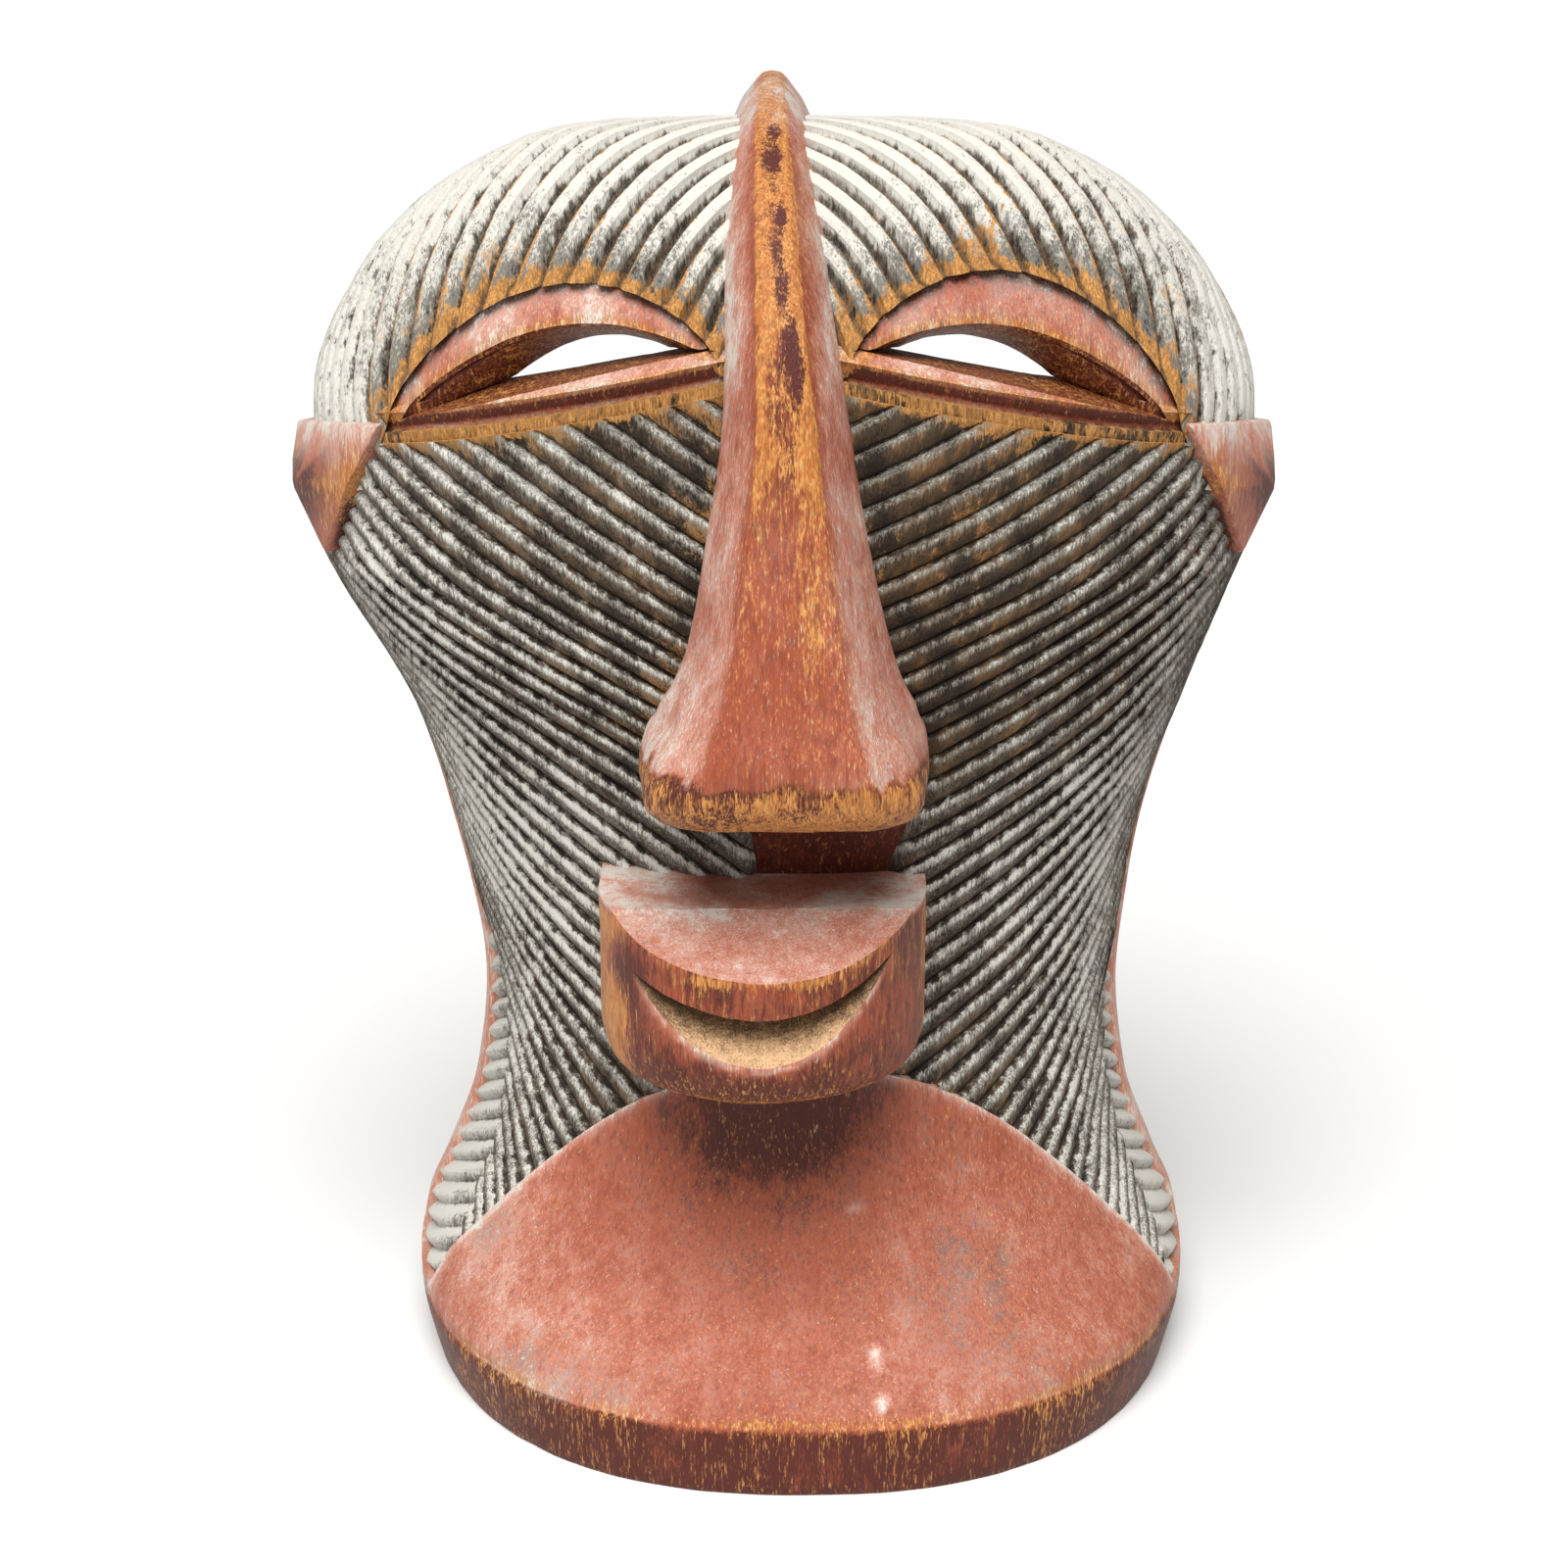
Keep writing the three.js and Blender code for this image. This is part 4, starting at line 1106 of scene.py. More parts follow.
def carve(form):
    """The whole carving as one closed solid, with each face's zone as its material index."""
    over_arch = ARCH_FLUTES - 0.5
    lowest = CHEEK_FLUTES + NECK_FLUTES - 0.5
    flutes, *others = [cheek(form, side, FIRST_FLUTE[side], over_arch, 56) for side in SIDES]
    for side in SIDES:
        others += [cheek(form, side, over_arch, lowest, 30), fringe(form, side),
                   forehead(form, side)]
    combine(flutes, "UNION", others)
    combine(flutes, "DIFFERENCE", [eye_cut(side) for side in SIDES])
    band = combine(body(form, "band", "band", form.band_rise), "INTERSECT",
                   [block("band_part", "band", [-200, -form.band_width, 0], [200, 40, 400])])
    parts = [band, flutes, apron(form), nose(), mouth()]
    for side in SIDES:
        parts += [ear(side), upper_lid(form, side), *lower_lid(form, side)]
    wood = combine(body(form, "carved_mask", "core", -form.recess), "UNION", parts)
    combine(wood, "DIFFERENCE", [hollow(form)])
    combine(wood, "DIFFERENCE", [eye_slot(form, side) for side in SIDES])
    return combine(wood, "INTERSECT",
                   [block("rim_plane", "rim", [-300, -300, 0], [300, 0, 500])])


# Tool marks and wear


def read(collection, name, width=1, kind=float):
    """One value, or a row of them, from each element of a mesh."""
    values = np.empty(len(collection) * width, kind)
    collection.foreach_get(name, values)
    return values.reshape(-1, width) if width > 1 else values


class Surface:
    """The carving's mesh as arrays: points, and for each face corner its point and zone."""

    def __init__(self, mesh):
        self.points = read(mesh.vertices, "co", 3)
        self.normals = read(mesh.vertex_normals, "vector", 3)
        self.corner = read(mesh.loops, "vertex_index", kind=int)
        self.face_zone = read(mesh.polygons, "material_index", kind=int)
        self.zone = np.repeat(self.face_zone, read(mesh.polygons, "loop_total", kind=int))


def roughen(surface):
    """Moves the points along their normals: broad unevenness from the blade and small pits
    along the grain. The flat rim and underside stay where they are."""
    amount = np.array([{"rim": 0.0, "band": 0.5, "hollow": 0.8}.get(name, 1.0)
                       for name in ZONES])
    least = np.full(len(surface.points), 1.0)
    np.minimum.at(least, surface.corner, amount[surface.zone])
    broad = 0.16 * noise(surface.points, *NOISE["blade"])
    small = 0.1 * noise(surface.points, *NOISE["pits"])
    return surface.points + surface.normals * (least * (broad + small))[:, None]


class Corners:
    """The face corners of one zone: where each lies on the carving, and the broad and the
    middling noise that wear and paint follow."""

    def __init__(self, form, surface, zone):
        self.form = form
        self.rows = np.flatnonzero(surface.zone == ZONE[zone])
        self.place = surface.points[surface.corner[self.rows]]
        self.x, self.y, self.z = self.place.T
        self.width = np.abs(self.x)
        self.side = np.sign(self.x)
        self.angle = np.abs(form.angle_of(self.place))
        self.turn = np.degrees(self.angle)
        self.broad = noise(self.place, *NOISE["broad"])
        self.middle = noise(self.place, *NOISE["middle"])


def unstrayed(count, angle, wobble, course, side):
    """A count with what its grooves stray taken off again. That is read at the count itself,
    which is near enough."""
    return 2 * count - strayed(count, angle, wobble, course, side)


def flute_counts(form, surface):
    """The count of flutes at each face corner, growing downwards, so that a whole number lies
    on a groove. Where there are no flutes it stays between two grooves. The forehead's paint
    takes the other side's course, so it wanders off the cut by a part of a millimetre."""
    count = np.full(len(surface.corner), 0.7)
    cheeks, fringes, brows = [Corners(form, surface, zone)
                              for zone in ("cheek", "fringe", "forehead")]
    ray = np.stack((-brows.width, brows.y, brows.z), -1) - HEAD_CENTRE
    ray /= np.linalg.norm(ray, axis=1, keepdims=True)
    axis, across, up = form.brow_frame
    spread = np.arccos(np.clip(ray @ axis, -1, 1)) / form.brow_pitch
    turn = np.arctan2(ray @ up, ray @ across) % (2 * np.pi)
    for side in SIDES:
        here = cheeks.side == side
        angle = cheeks.angle[here]
        raw = form.cheek_count(cheek_start_of(cheeks.z[here], angle, side))
        wobble = form.hand_wobble / form.cheek_pitch
        count[cheeks.rows[here]] = unstrayed(raw, angle, wobble, "cheek", side)
        here = fringes.side == side
        start = fringes.z[here]
        for _ in range(8):
            fallen = fringes.turn[here] - fringe_edge(start, side)
            start = fringes.z[here] + FRINGE["fall"] * np.maximum(0, fallen)
        count[fringes.rows[here]] = (FRINGE["low"] - start) / form.fringe_pitch
        here = brows.side == side
        wobble = form.hand_wobble / FOREHEAD["spacing"]
        count[brows.rows[here]] = unstrayed(spread[here], turn[here], wobble, "forehead", -side)
    return count


def spots(x, z, places):
    """How much of each point lies in upright ovals, given as x, height, half width and half
    height: the sum of a bell curve for each."""
    return sum(np.exp(-((x - at) / wide) ** 2 - ((z - up) / tall) ** 2)
               for at, up, wide, tall in places)


# Each of the next functions gives, for the corners of one zone, how much bare wood, white and
# dirt with painted shade they show: a sum of weighted places, held between 0 and 1 in the end.
# Its docstring says where they lie, and where shade or a highlight is painted.


def cheek_amounts(at):
    """Rubbed bare under the lids, beside the nose, over the arch and by the ears, and
    whitest round the sides and on the neck."""
    lid_rub = np.where(at.width < EYE["outer"] + 4,
                       nearness(brow_line(at.x) + LID["border"] - 0.7 - at.z, 2.4), 0)
    ear_rub = nearness(cheek_top_at(at.turn) - at.z, 7) * ease(at.turn, 44, 56)
    nose_edge = np.interp(at.z, [150, 191, 209, 240, 300], [44, 38, 36, 24, 16])
    nose_rub = nearness(at.width - nose_edge, 7) * ease(at.z, 180, 205)
    wear = (0.24 + 0.15 * at.broad + 0.2 * at.middle + 0.6 * lid_rub
            + (0.28 - 0.34 * ease(at.x, 0, 10)) * nose_rub
            + 0.3 * nearness(at.z - arch_height(at.angle), 3)
            + 0.5 * ear_rub - 0.1 * ease(at.turn, 40, 70))
    white = (0.22 + 0.1 * ease(at.turn, 20, 60) - 0.12 * ease(at.turn, 60, 80)
             + 0.2 * ease(215 - at.z, 0, 50) - 0.18 * ease(155 - at.z, 0, 30)
             - 0.12 * ease(at.x, 0, 30) * ease(at.z, 120, 160)
             - 0.2 * ease(at.x, 10, 25) * ease(60 - at.x, 0, 30) * ease(at.z, 185, 215)
             + 0.08 * at.broad + 0.08 * at.middle - 0.1 * lid_rub - 0.1 * ear_rub)
    return wear, white, 0


def fringe_amounts(at):
    """Thick with white, and a little worn where it meets the fan."""
    by_fan = nearness(at.turn - fringe_edge(at.z, 1), 4)
    return 0.3 + 0.2 * at.middle + 0.25 * by_fan, 1.0 + 0.1 * at.broad - 0.3 * by_fan, 0


def forehead_amounts(at):
    """Rubbed to wood along the brow, with a haze of wear over it, and whitest on the dome,
    at the sides and beside the crest."""
    gap = over_own_brow(at.x, at.z)
    by_eye = at.width < EYE["outer"] + 6
    haze = np.where(by_eye, nearness(gap, 13), 0)
    wear = (0.1 + 0.12 * at.broad + 0.12 * at.middle
            + 0.9 * np.where(by_eye, nearness(gap - 0.5, 1.8), 0) + 0.42 * haze
            + 0.25 * nearness(at.width - 14, 7) * ease(340 - at.z, 0, 40))
    white = (0.36 + 0.3 * ease(at.z, 305, 345) + 0.2 * ease(at.width, 70, 115)
             + 0.12 * at.broad + 0.08 * at.middle - 0.15 * haze
             + 0.15 * nearness(at.width - 16, 12))
    return wear, white, 0


def apron_amounts(at):
    """Worn at the base's edge, white under the arch and in a few drips, with a painted shadow
    of the mouth on the apron under it, and dark on the base's upright side."""
    base_edge = nearness(np.abs(at.z - BASE_EDGE - 0.8), 1.6)
    side_face = ease(BASE_EDGE - at.z, 0, 1.5)
    # Painted shadow of the mouth on the apron under it: darker and less white.
    mouth_shadow = nearness(np.hypot(at.x + 4, (at.z - 104) * 0.8), 28)
    wear = (0.1 + 0.1 * at.broad + 0.14 * at.middle + (0.45 + 0.25 * at.middle) * base_edge
            + 0.12 * side_face)
    white = (0.52 + 0.2 * at.broad + 0.15 * ease(-at.x, 10, 80) - 0.4 * side_face
             + 0.8 * nearness(np.abs(at.z - arch_height(at.angle)), 1.6)
             - 0.6 * mouth_shadow + 1.2 * spots(at.x, at.z, APRON_DRIPS))
    dirt = ((0.72 + 0.25 * at.middle) * side_face + 1.2 * mouth_shadow
            + 0.3 * ease(at.broad, 0.05, 0.6) + 0.12 * ease(at.middle, 0, 0.6))
    return wear, white, dirt


def nose_amounts(at):
    """Worn orange along the front strip of the crest, rubbed pale on the flanks, bare and
    dark on the nose's end, with dark stains up the crest."""
    rising = np.array(RIDGE[:-2])
    strip, centre = [np.interp(at.z, rising[:, 1], rising[:, column]) for column in (4, 6)]
    beside = np.abs(at.x - centre)
    on_strip = ease(strip + 1.0 - beside, 0, 1.2)
    end_band = ease(207.5 - at.z + 3.5 * noise(at.place, *NOISE["slivers"]), 0, 4)
    blotch = noise(at.place, *NOISE["blotches"])
    stain = spots(at.x, at.z, CREST_STAINS)
    wear = (0.14 + 0.1 * at.broad + 0.14 * at.middle + 0.36 * end_band - 0.9 * stain
            + (0.6 - 0.5 * blotch) * on_strip * ease(at.z, 262, 300)
            + 0.12 * on_strip * ease(at.z, 215, 262)
            + 0.14 * nearness(np.abs(beside - strip), 1.2)
            + 0.2 * ease(at.x, 1, 5) * ease(11 - at.x, 0, 4) * ease(at.z, 196, 225))
    flank = ease(beside - strip, 0, 3)
    crest_foot = ease(at.z, 285, 310) * ease(beside, 6, 12)
    white = (1 - end_band) * (0.28 + 0.38 * flank + 0.3 * flank * ease(-at.x, 5, 25)
                              + 0.15 * at.broad + 0.12 * at.middle + 0.35 * crest_foot
                              + 0.5 * ease(at.z, 346, 358))
    dirt = 0.9 * end_band + 0.1 + 0.4 * stain + 0.5 * on_strip * ease(at.z, 250, 285)
    return wear, white, dirt


def mouth_amounts(at):
    """Worn at the lips' edges and ends, dusted white on the flat top, with a painted highlight
    along the lower lip, and dark at the left corner."""
    sideways = (at.x - MOUTH["x"]) / MOUTH["half_width"]
    flat = ease(at.z, MOUTH["top"] - 0.8, MOUTH["top"] - 0.2)
    slope_edge = MOUTH["top"] - MOUTH["slope_drop"] * ease(MOUTH["fold"] - at.y, 0, 22)
    corner = spots(sideways, at.z, [(-0.8, 150, 0.12, 7)])
    opened = (MOUTH["slit_back"] - at.y) / (MOUTH["slit_back"] - MOUTH["front"])
    lip_line = (MOUTH["slit"] - MOUTH["slit_drop"] * opened
                + smiled(at.x - MOUTH["x"], MOUTH["smile"]))
    # A painted highlight along the edge of the lower lip, under the slit.
    lower_lip_highlight = (nearness(np.abs(at.z - lip_line + 0.8), 1.2)
                 * ease(0.85 - np.abs(sideways), 0, 0.2))
    wear = (1 - flat) * (0.22 + 0.1 * at.broad + 0.12 * at.middle
                         + 0.42 * nearness(np.abs(at.z - slope_edge), 1.3)
                         + 0.55 * ease(-sideways, 0.72, 0.9)
                         + 0.3 * nearness(at.z - MOUTH["bottom"], 2.5)
                         + 0.35 * ease(sideways, 0.93, 0.99)) - 0.6 * corner
    white = 0.15 + 0.75 * flat + 0.5 * at.middle * flat + 1.1 * lower_lip_highlight * (1 - flat)
    dirt = ((1 - flat) * (0.5 + 0.25 * at.middle + 0.15 * ease(145 - at.z, 0, 15)
                          - 0.6 * lower_lip_highlight) + 0.5 * corner)
    return wear, white, dirt


def slope_amounts(at):
    """The upper lip's slope, dusty white, most of all towards its fold."""
    white = 0.75 + 0.15 * ease(at.y, -106, -95) + 0.2 * at.broad
    return 0.12 + 0.1 * at.middle, white, 0


def crescent_amounts(at):
    """The inside of the slit, with dust on it towards the front."""
    return 0.25, 0.05 + 0.7 * ease(MOUTH["slit_back"] - at.y, 1, 14), 0


def ear_amounts(at):
    """Worn in a band across the middle, white along the top, dark in a band below, and with
    painted shade where the ear meets the head."""
    ear_top = np.interp(at.width, EAR_TOP["width"], EAR_TOP["height"])
    proud = at.form.skin_depth(np.clip(at.width, 0, 118), at.z) - at.y
    wear = 0.12 + 0.25 * at.middle + 0.8 * hump(at.z, 265, 5)
    white = (0.4 + 0.3 * ease(at.z, 268, 272) + 0.2 * ease(246 - at.z, 0, 8)
             + 0.8 * nearness(np.abs(ear_top - at.z), 2))
    # The second term is painted shade where the lower ear meets the head.
    dirt = (0.9 * hump(at.z, 253 + 4 * at.middle, 6)
            + 0.9 * nearness(proud, 1.3) * ease(262 - at.z, 0, 8))
    return wear, white, dirt


def lid_amounts(at):
    """Worn along the lower lid's edge and round the slot, with painted shade under the brow,
    dark in the hollow under the edge, which has a thin white line at its foot."""
    over_line = at.z - brow_line(at.x)
    hollow_face = (ease(LID["edge"] - 0.6 - over_line, 0, 0.6)
                   * ease(over_line, LID["foot"], -0.6))
    over_slot = over_line - LID["slot"] - SLOT_RISE * slot_bow(at.width)
    upper = over_slot > -1.5
    wear = (0.08 + 0.1 * at.middle + 0.75 * nearness(np.abs(over_line - LID["edge"]), 0.9)
            + 0.85 * upper * nearness(over_slot, 2.4))
    white = (0.72 + 0.25 * at.middle - 0.6 * hollow_face
             + 0.3 * nearness(np.abs(over_line - LID["foot"] - 0.5), 0.5))
    # The second term is painted shade under the brow, on the upper lid.
    dirt = (0.8 * hollow_face + 1.2 * upper * nearness(over_own_brow(at.x, at.z), 2.2)
            + 0.14 * upper * ease(at.x, 0, 20))
    return wear, white, dirt


def border_amounts(at):
    """The plain border under a lid, mostly rubbed to wood."""
    return 0.62 + 0.3 * at.middle, 0, 0


# The core, which shows in the groove from nose to mouth, is dark there partly as painted shade.
AMOUNTS = {"cheek": cheek_amounts, "fringe": fringe_amounts, "forehead": forehead_amounts,
           "apron": apron_amounts, "nose": nose_amounts, "mouth": mouth_amounts,
           "slope": slope_amounts, "crescent": crescent_amounts, "ear": ear_amounts,
           "lid": lid_amounts, "border": border_amounts, "brow": (0.75, 0.1, 0),
           "slot": (0.4, 0, 0.7), "band": (0.35, 0.85, 0), "core": (0.15, 0.15, 0.75),
           "hollow": (0.25, 0, 0), "rim": (0.25, 0, 0)}


def finishes(form, surface):
    """How much bare wood, white, and dirt with painted shade each face corner shows, each from
    0 to 1. A zone whose amounts aren't worked out has the same all over."""
    amounts = np.empty((len(surface.corner), 3))
    for zone, given in AMOUNTS.items():
        at = Corners(form, surface, zone)
        worked_out = given(at) if callable(given) else given
        amounts[at.rows] = np.stack(np.broadcast_arrays(*worked_out, at.x)[:3], -1)
    return np.clip(amounts, 0, 1)


# Materials


def add_node(tree, kind, inputs=None, stops=None, **settings):
    """Adds a node, with its own settings, its ramp's stops, and its inputs by name or number.
    An input takes a value, a socket, or a node, which gives its first output in use."""
    node = tree.nodes.new(kind)
    for name, value in settings.items():
        setattr(node, name, value)
    if stops:
        ramp = node.color_ramp
        while len(ramp.elements) < len(stops):
            ramp.elements.new(0.5)
        for element, (place, value) in zip(ramp.elements, stops):
            element.position = place
            element.color = (*value, 1)
    for key, value in (inputs or {}).items():
        socket = node.inputs[key] if isinstance(key, int) else next(
            s for s in node.inputs if s.enabled and s.name == key)
        if isinstance(value, bpy.types.Node):
            value = next(s for s in value.outputs if s.enabled)
        if isinstance(value, bpy.types.NodeSocket):
            tree.links.new(value, socket)
        elif socket.type == "RGBA":
            socket.default_value = (*value, 1)
        else:
            socket.default_value = value
    return node


def new_material(name, roughness):
    """A material with one Principled shader. Wood and clay reflect like most plain solids,
    with an index of about 1.5."""
    material = bpy.data.materials.new(name)
    material.use_nodes = True
    tree = material.node_tree
    shader = tree.nodes["Principled BSDF"]
    shader.inputs["Roughness"].default_value = roughness
    shader.inputs["IOR"].default_value = 1.5
    shader.inputs["Specular IOR Level"].default_value = 0.3
    return material, tree, shader


class Finish:
    """A finish of the mask as a material, with the fields that its coats follow, by name: the
    painted amounts of bare wood, white, and dirt with painted shade, and noise on the wood's own
    coordinates, stretched up the grain."""

    def __init__(self, name, roughness):
        self.material, self.tree, self.shader = new_material(name, roughness)
        place = add_node(self.tree, "ShaderNodeTexCoord").outputs["Object"]
        painted = add_node(self.tree, "ShaderNodeAttribute", attribute_name="finish")
        amounts = add_node(self.tree, "ShaderNodeSeparateColor",
                           {"Color": painted.outputs["Color"]})
        self.fields = dict(zip(("wear", "white", "dirt"), amounts.outputs))
        for field, (across, along, detail) in GRAIN.items():
            stretched = add_node(self.tree, "ShaderNodeMapping", {
                "Vector": place,
                "Scale": (1 / (across * MM), 1 / (across * MM), 1 / (along * MM))})
            raw = add_node(self.tree, "ShaderNodeTexNoise", {
                "Vector": stretched, "Scale": 1.0, "Detail": detail, "Roughness": 0.6})
            self.fields[field] = add_node(self.tree, "ShaderNodeMapRange", {
                "Value": raw, "From Min": 0.3, "From Max": 0.7})

    def weighted(self, constant=0.0, **weights):
        """A constant and the named fields, each times its weight, added up."""
        total = constant
        for field, weight in weights.items():
            total = add_node(self.tree, "ShaderNodeMath",
                             {0: self.fields[field], 1: weight, 2: total},
                             operation="MULTIPLY_ADD")
        return total

    def cover(self, name, low, high, **weights):
        """A new field for where a coat lies: the weighted fields, stepped smoothly from 0 at
        low to 1 at high. With noise that weighs 1 in all, an amount of 0.5 covers half of
        the wood at about 1."""
        self.fields[name] = add_node(self.tree, "ShaderNodeMapRange", {
            "Value": self.weighted(**weights), "From Min": low, "From Max": high},
            interpolation_type="SMOOTHSTEP")

    def across_flute(self, name, stray, levels):
        """A new field that depends only on the place across a flute, from groove to groove,
        with lines that stray a little from the cut."""
        count = add_node(self.tree, "ShaderNodeAttribute", attribute_name="flute")
        self.fields["count"] = count.outputs["Fac"]
        part = add_node(self.tree, "ShaderNodeMath", {
            0: self.weighted(-stray / 2, flake=stray, count=1.0)}, operation="FRACT")
        self.fields[name] = add_node(self.tree, "ShaderNodeValToRGB", {"Fac": part},
                                     stops=[(place, (level,) * 3) for place, level in levels])

    def coat(self, below, above, **weights):
        """One colour laid over another by the weighted fields."""
        return add_node(self.tree, "ShaderNodeMix", {
            "Factor": self.weighted(**weights), "A": below, "B": above}, data_type="RGBA")

    def bare_wood(self, wood, pale, dark):
        """Bare wood with pale fibres up its grain, and dark in its long pores."""
        self.cover("fibres", 0.35, 0.8, fibre=0.7, flake=0.3)
        self.cover("pores", 0.5, 0.8, pore=0.7, fibre=0.3)
        return self.coat(self.coat(wood, pale, fibres=0.8), dark, pores=0.55)

    def close(self, paint, depth, strength, **weights):
        """Links the paint, and fine relief up the grain that is too small for the mesh, and
        gives the material."""
        bump = add_node(self.tree, "ShaderNodeBump", {
            "Height": self.weighted(**weights), "Distance": depth * MM, "Strength": strength})
        self.tree.links.new(bump.outputs[0], self.shader.inputs["Normal"])
        colour_out = next(s for s in paint.outputs if s.enabled)
        self.tree.links.new(colour_out, self.shader.inputs["Base Color"])
        return self.material


def sooted_flutes(colours):
    """Softwood flutes blackened with soot and rubbed with kaolin. The soot is matt and nearly
    black in the grooves, and the clay is chalky, thick on the steep faces that look up and
    thin in flecks along the grain, with raw ochre wood where both have gone."""
    wood = Finish("kaolin and soot on fluted wood", 0.8)
    wood.across_flute("steep", 0.12, [(0.0, 0), (0.05, 0.25), (0.11, 1), (0.24, 0.9),
                                      (0.4, 0.35), (0.9, 0.1), (1.0, 0)])
    wood.across_flute("groove", 0.09, [(0.0, 1), (0.04, 0.7), (0.08, 0), (0.94, 0), (1.0, 1)])
    wood.cover("brown", 0.1, 0.7, fibre=0.4, patch=0.6)
    wood.cover("stain", 0.5, 0.75, patch=0.5, flake=0.3, pore=0.2)
    wood.cover("bare", 0.9, 1.1, wear=1.0, patch=0.4, flake=0.35, fibre=0.25)
    clay = {"white": 1.0, "steep": 0.55, "fibre": 0.5, "flake": 0.3, "patch": 0.25,
            "pore": -0.15}
    wood.cover("thin_clay", 0.75, 1.15, **clay)
    wood.cover("thick_clay", 1.05, 1.5, **clay)
    wood.fields["soot_line"] = add_node(
        wood.tree, "ShaderNodeMath",
        {0: wood.fields["groove"], 1: wood.weighted(1.1, white=-0.9)},
        operation="MULTIPLY", use_clamp=True)
    paint = wood.coat(colours.soot, colours.umber, brown=1.0)
    paint = wood.coat(paint, colours.ochre, stain=0.35)
    paint = wood.coat(paint, wood.bare_wood(colours.ochre, colours.honey, colours.umber),
                      bare=1.0)
    paint = wood.coat(paint, colours.slate, thin_clay=1.0)
    paint = wood.coat(paint, colours.kaolin, thick_clay=1.0)
    paint = wood.coat(paint, colours.soot, soot_line=1.0)
    return wood.close(paint, 0.5, 0.8, fibre=0.6, flake=0.4)


def whitened_flutes(colours):
    """The forehead: flat-topped flutes thick with kaolin, chalky white on the dome and dark
    in the wide grooves, rubbed right through to ochre wood along the brow and on the lower
    edge of each flute."""
    wood = Finish("kaolin on flat-topped flutes", 0.82)
    wood.across_flute("top", 0.12, [(0.0, 0), (0.1, 0.1), (0.22, 1), (0.74, 1), (0.88, 0.35),
                                    (1.0, 0)])
    wood.across_flute("arris", 0.12, [(0.0, 0), (0.62, 0), (0.76, 1), (0.88, 0), (1.0, 0)])
    wood.across_flute("groove", 0.1, [(0.0, 1), (0.12, 0.8), (0.2, 0), (0.88, 0), (1.0, 1)])
    wood.cover("brown", 0.2, 0.7, fibre=0.5, flake=0.5)
    clay = {"white": 1.0, "top": 0.4, "fibre": 0.45, "flake": 0.35, "patch": 0.25,
            "pore": -0.1}
    wood.cover("thin_clay", 0.8, 1.15, **clay)
    wood.cover("thick_clay", 1.0, 1.4, **clay, wear=-0.45)
    wood.cover("bare", 1.05, 1.22, wear=1.0, arris=0.5, patch=0.5, flake=0.35, fibre=0.25)
    dark = wood.coat(colours.soot, colours.umber, brown=1.0)
    paint = wood.coat(dark, colours.slate, thin_clay=1.0)
    paint = wood.coat(paint, colours.kaolin, thick_clay=1.0)
    paint = wood.coat(paint, wood.bare_wood(colours.ochre, colours.honey, colours.umber),
                      bare=1.0)
    paint = wood.coat(paint, dark, groove=0.85)
    return wood.close(paint, 0.4, 0.7, fibre=0.6, flake=0.4)


def red_earth(colours):
    """Red earth paint on wood: dense old maroon where it is thick, and the same maroon as
    painted shade, rubbed to rose where hands have polished it, and worn through in upright
    slivers to orange wood at the edges, with flecks and a film of white dust, chalk where the
    white is thickest, which also paints a highlight along the lower lip, and a faint waxy shine."""
    wood = Finish("red earth paint on wood", 0.5)
    dust = {"white": 1.0, "patch": 0.3, "flake": 0.25, "fibre": 0.3}
    wood.cover("rubbed", 0.45, 1.75, **dust)
    wood.cover("grain", 0.45, 0.8, pore=0.6, fibre=0.4)
    # Maroon over thick old paint, and as painted shade where the dirt amount carries shade.
    wood.cover("old", 0.75, 1.25, dirt=1.0, patch=0.3, flake=0.3, fibre=0.4)
    wood.cover("streaks", 0.3, 0.6, wear=0.8, fibre=0.6, pore=-0.5)
    wood.cover("bare", 0.95, 1.1, wear=1.0, patch=0.25, flake=0.4, fibre=0.35)
    wood.cover("dusty", 0.95, 1.9, white=1.0, patch=0.45, flake=0.25, fibre=0.3)
    wood.cover("flecks", 0.9, 1.1, fibre=1.0, white=0.3, dirt=-0.2)
    # Chalk where the white is thickest; along the lower lip it is a painted highlight.
    wood.cover("chalk", 1.28, 1.55, **dust)
    bare = wood.bare_wood(colours.tan, colours.honey, colours.maroon)
    paint = wood.coat(colours.brick, colours.rose, rubbed=1.0)
    paint = wood.coat(paint, colours.maroon, grain=0.4)
    paint = wood.coat(paint, colours.maroon, old=1.0)
    paint = wood.coat(paint, bare, streaks=0.6)
    paint = wood.coat(paint, bare, bare=1.0)
    paint = wood.coat(paint, colours.kaolin, dusty=0.5, flecks=0.4)
    paint = wood.coat(paint, colours.kaolin, chalk=0.8)
    return wood.close(paint, 0.35, 0.75, fibre=0.6, pore=-0.3, bare=-0.4)


def adzed_wood(colours):
    """Bare wood that was hollowed with an adze and never painted: brown with age, dull, with
    its grain standing up and down the hollow, and pale dust in the mouth's slit."""
    wood = Finish("bare adzed wood", 0.75)
    wood.cover("streaks", 0.2, 0.8, fibre=0.5, flake=0.5)
    wood.cover("pale", 0.5, 1.0, patch=0.6, fibre=0.4)
    wood.cover("dust", 0.5, 1.5, white=1.0, fibre=0.6, flake=0.3)
    paint = wood.coat(colours.umber, colours.hollow, streaks=1.0)
    paint = wood.coat(paint, colours.ochre, pale=0.4)
    paint = wood.coat(paint, colours.honey, dust=1.0)
    paint = wood.coat(paint, colours.kaolin, dust=0.3)
    return wood.close(paint, 0.4, 0.7, fibre=1.0)


ZONES_OF_FINISH = {
    sooted_flutes: ("cheek", "fringe", "border", "brow"),
    whitened_flutes: ("forehead",),
    red_earth: ("core", "apron", "nose", "mouth", "slope", "lid", "ear", "band", "slot"),
    adzed_wood: ("crescent", "hollow", "rim")}


# Operators


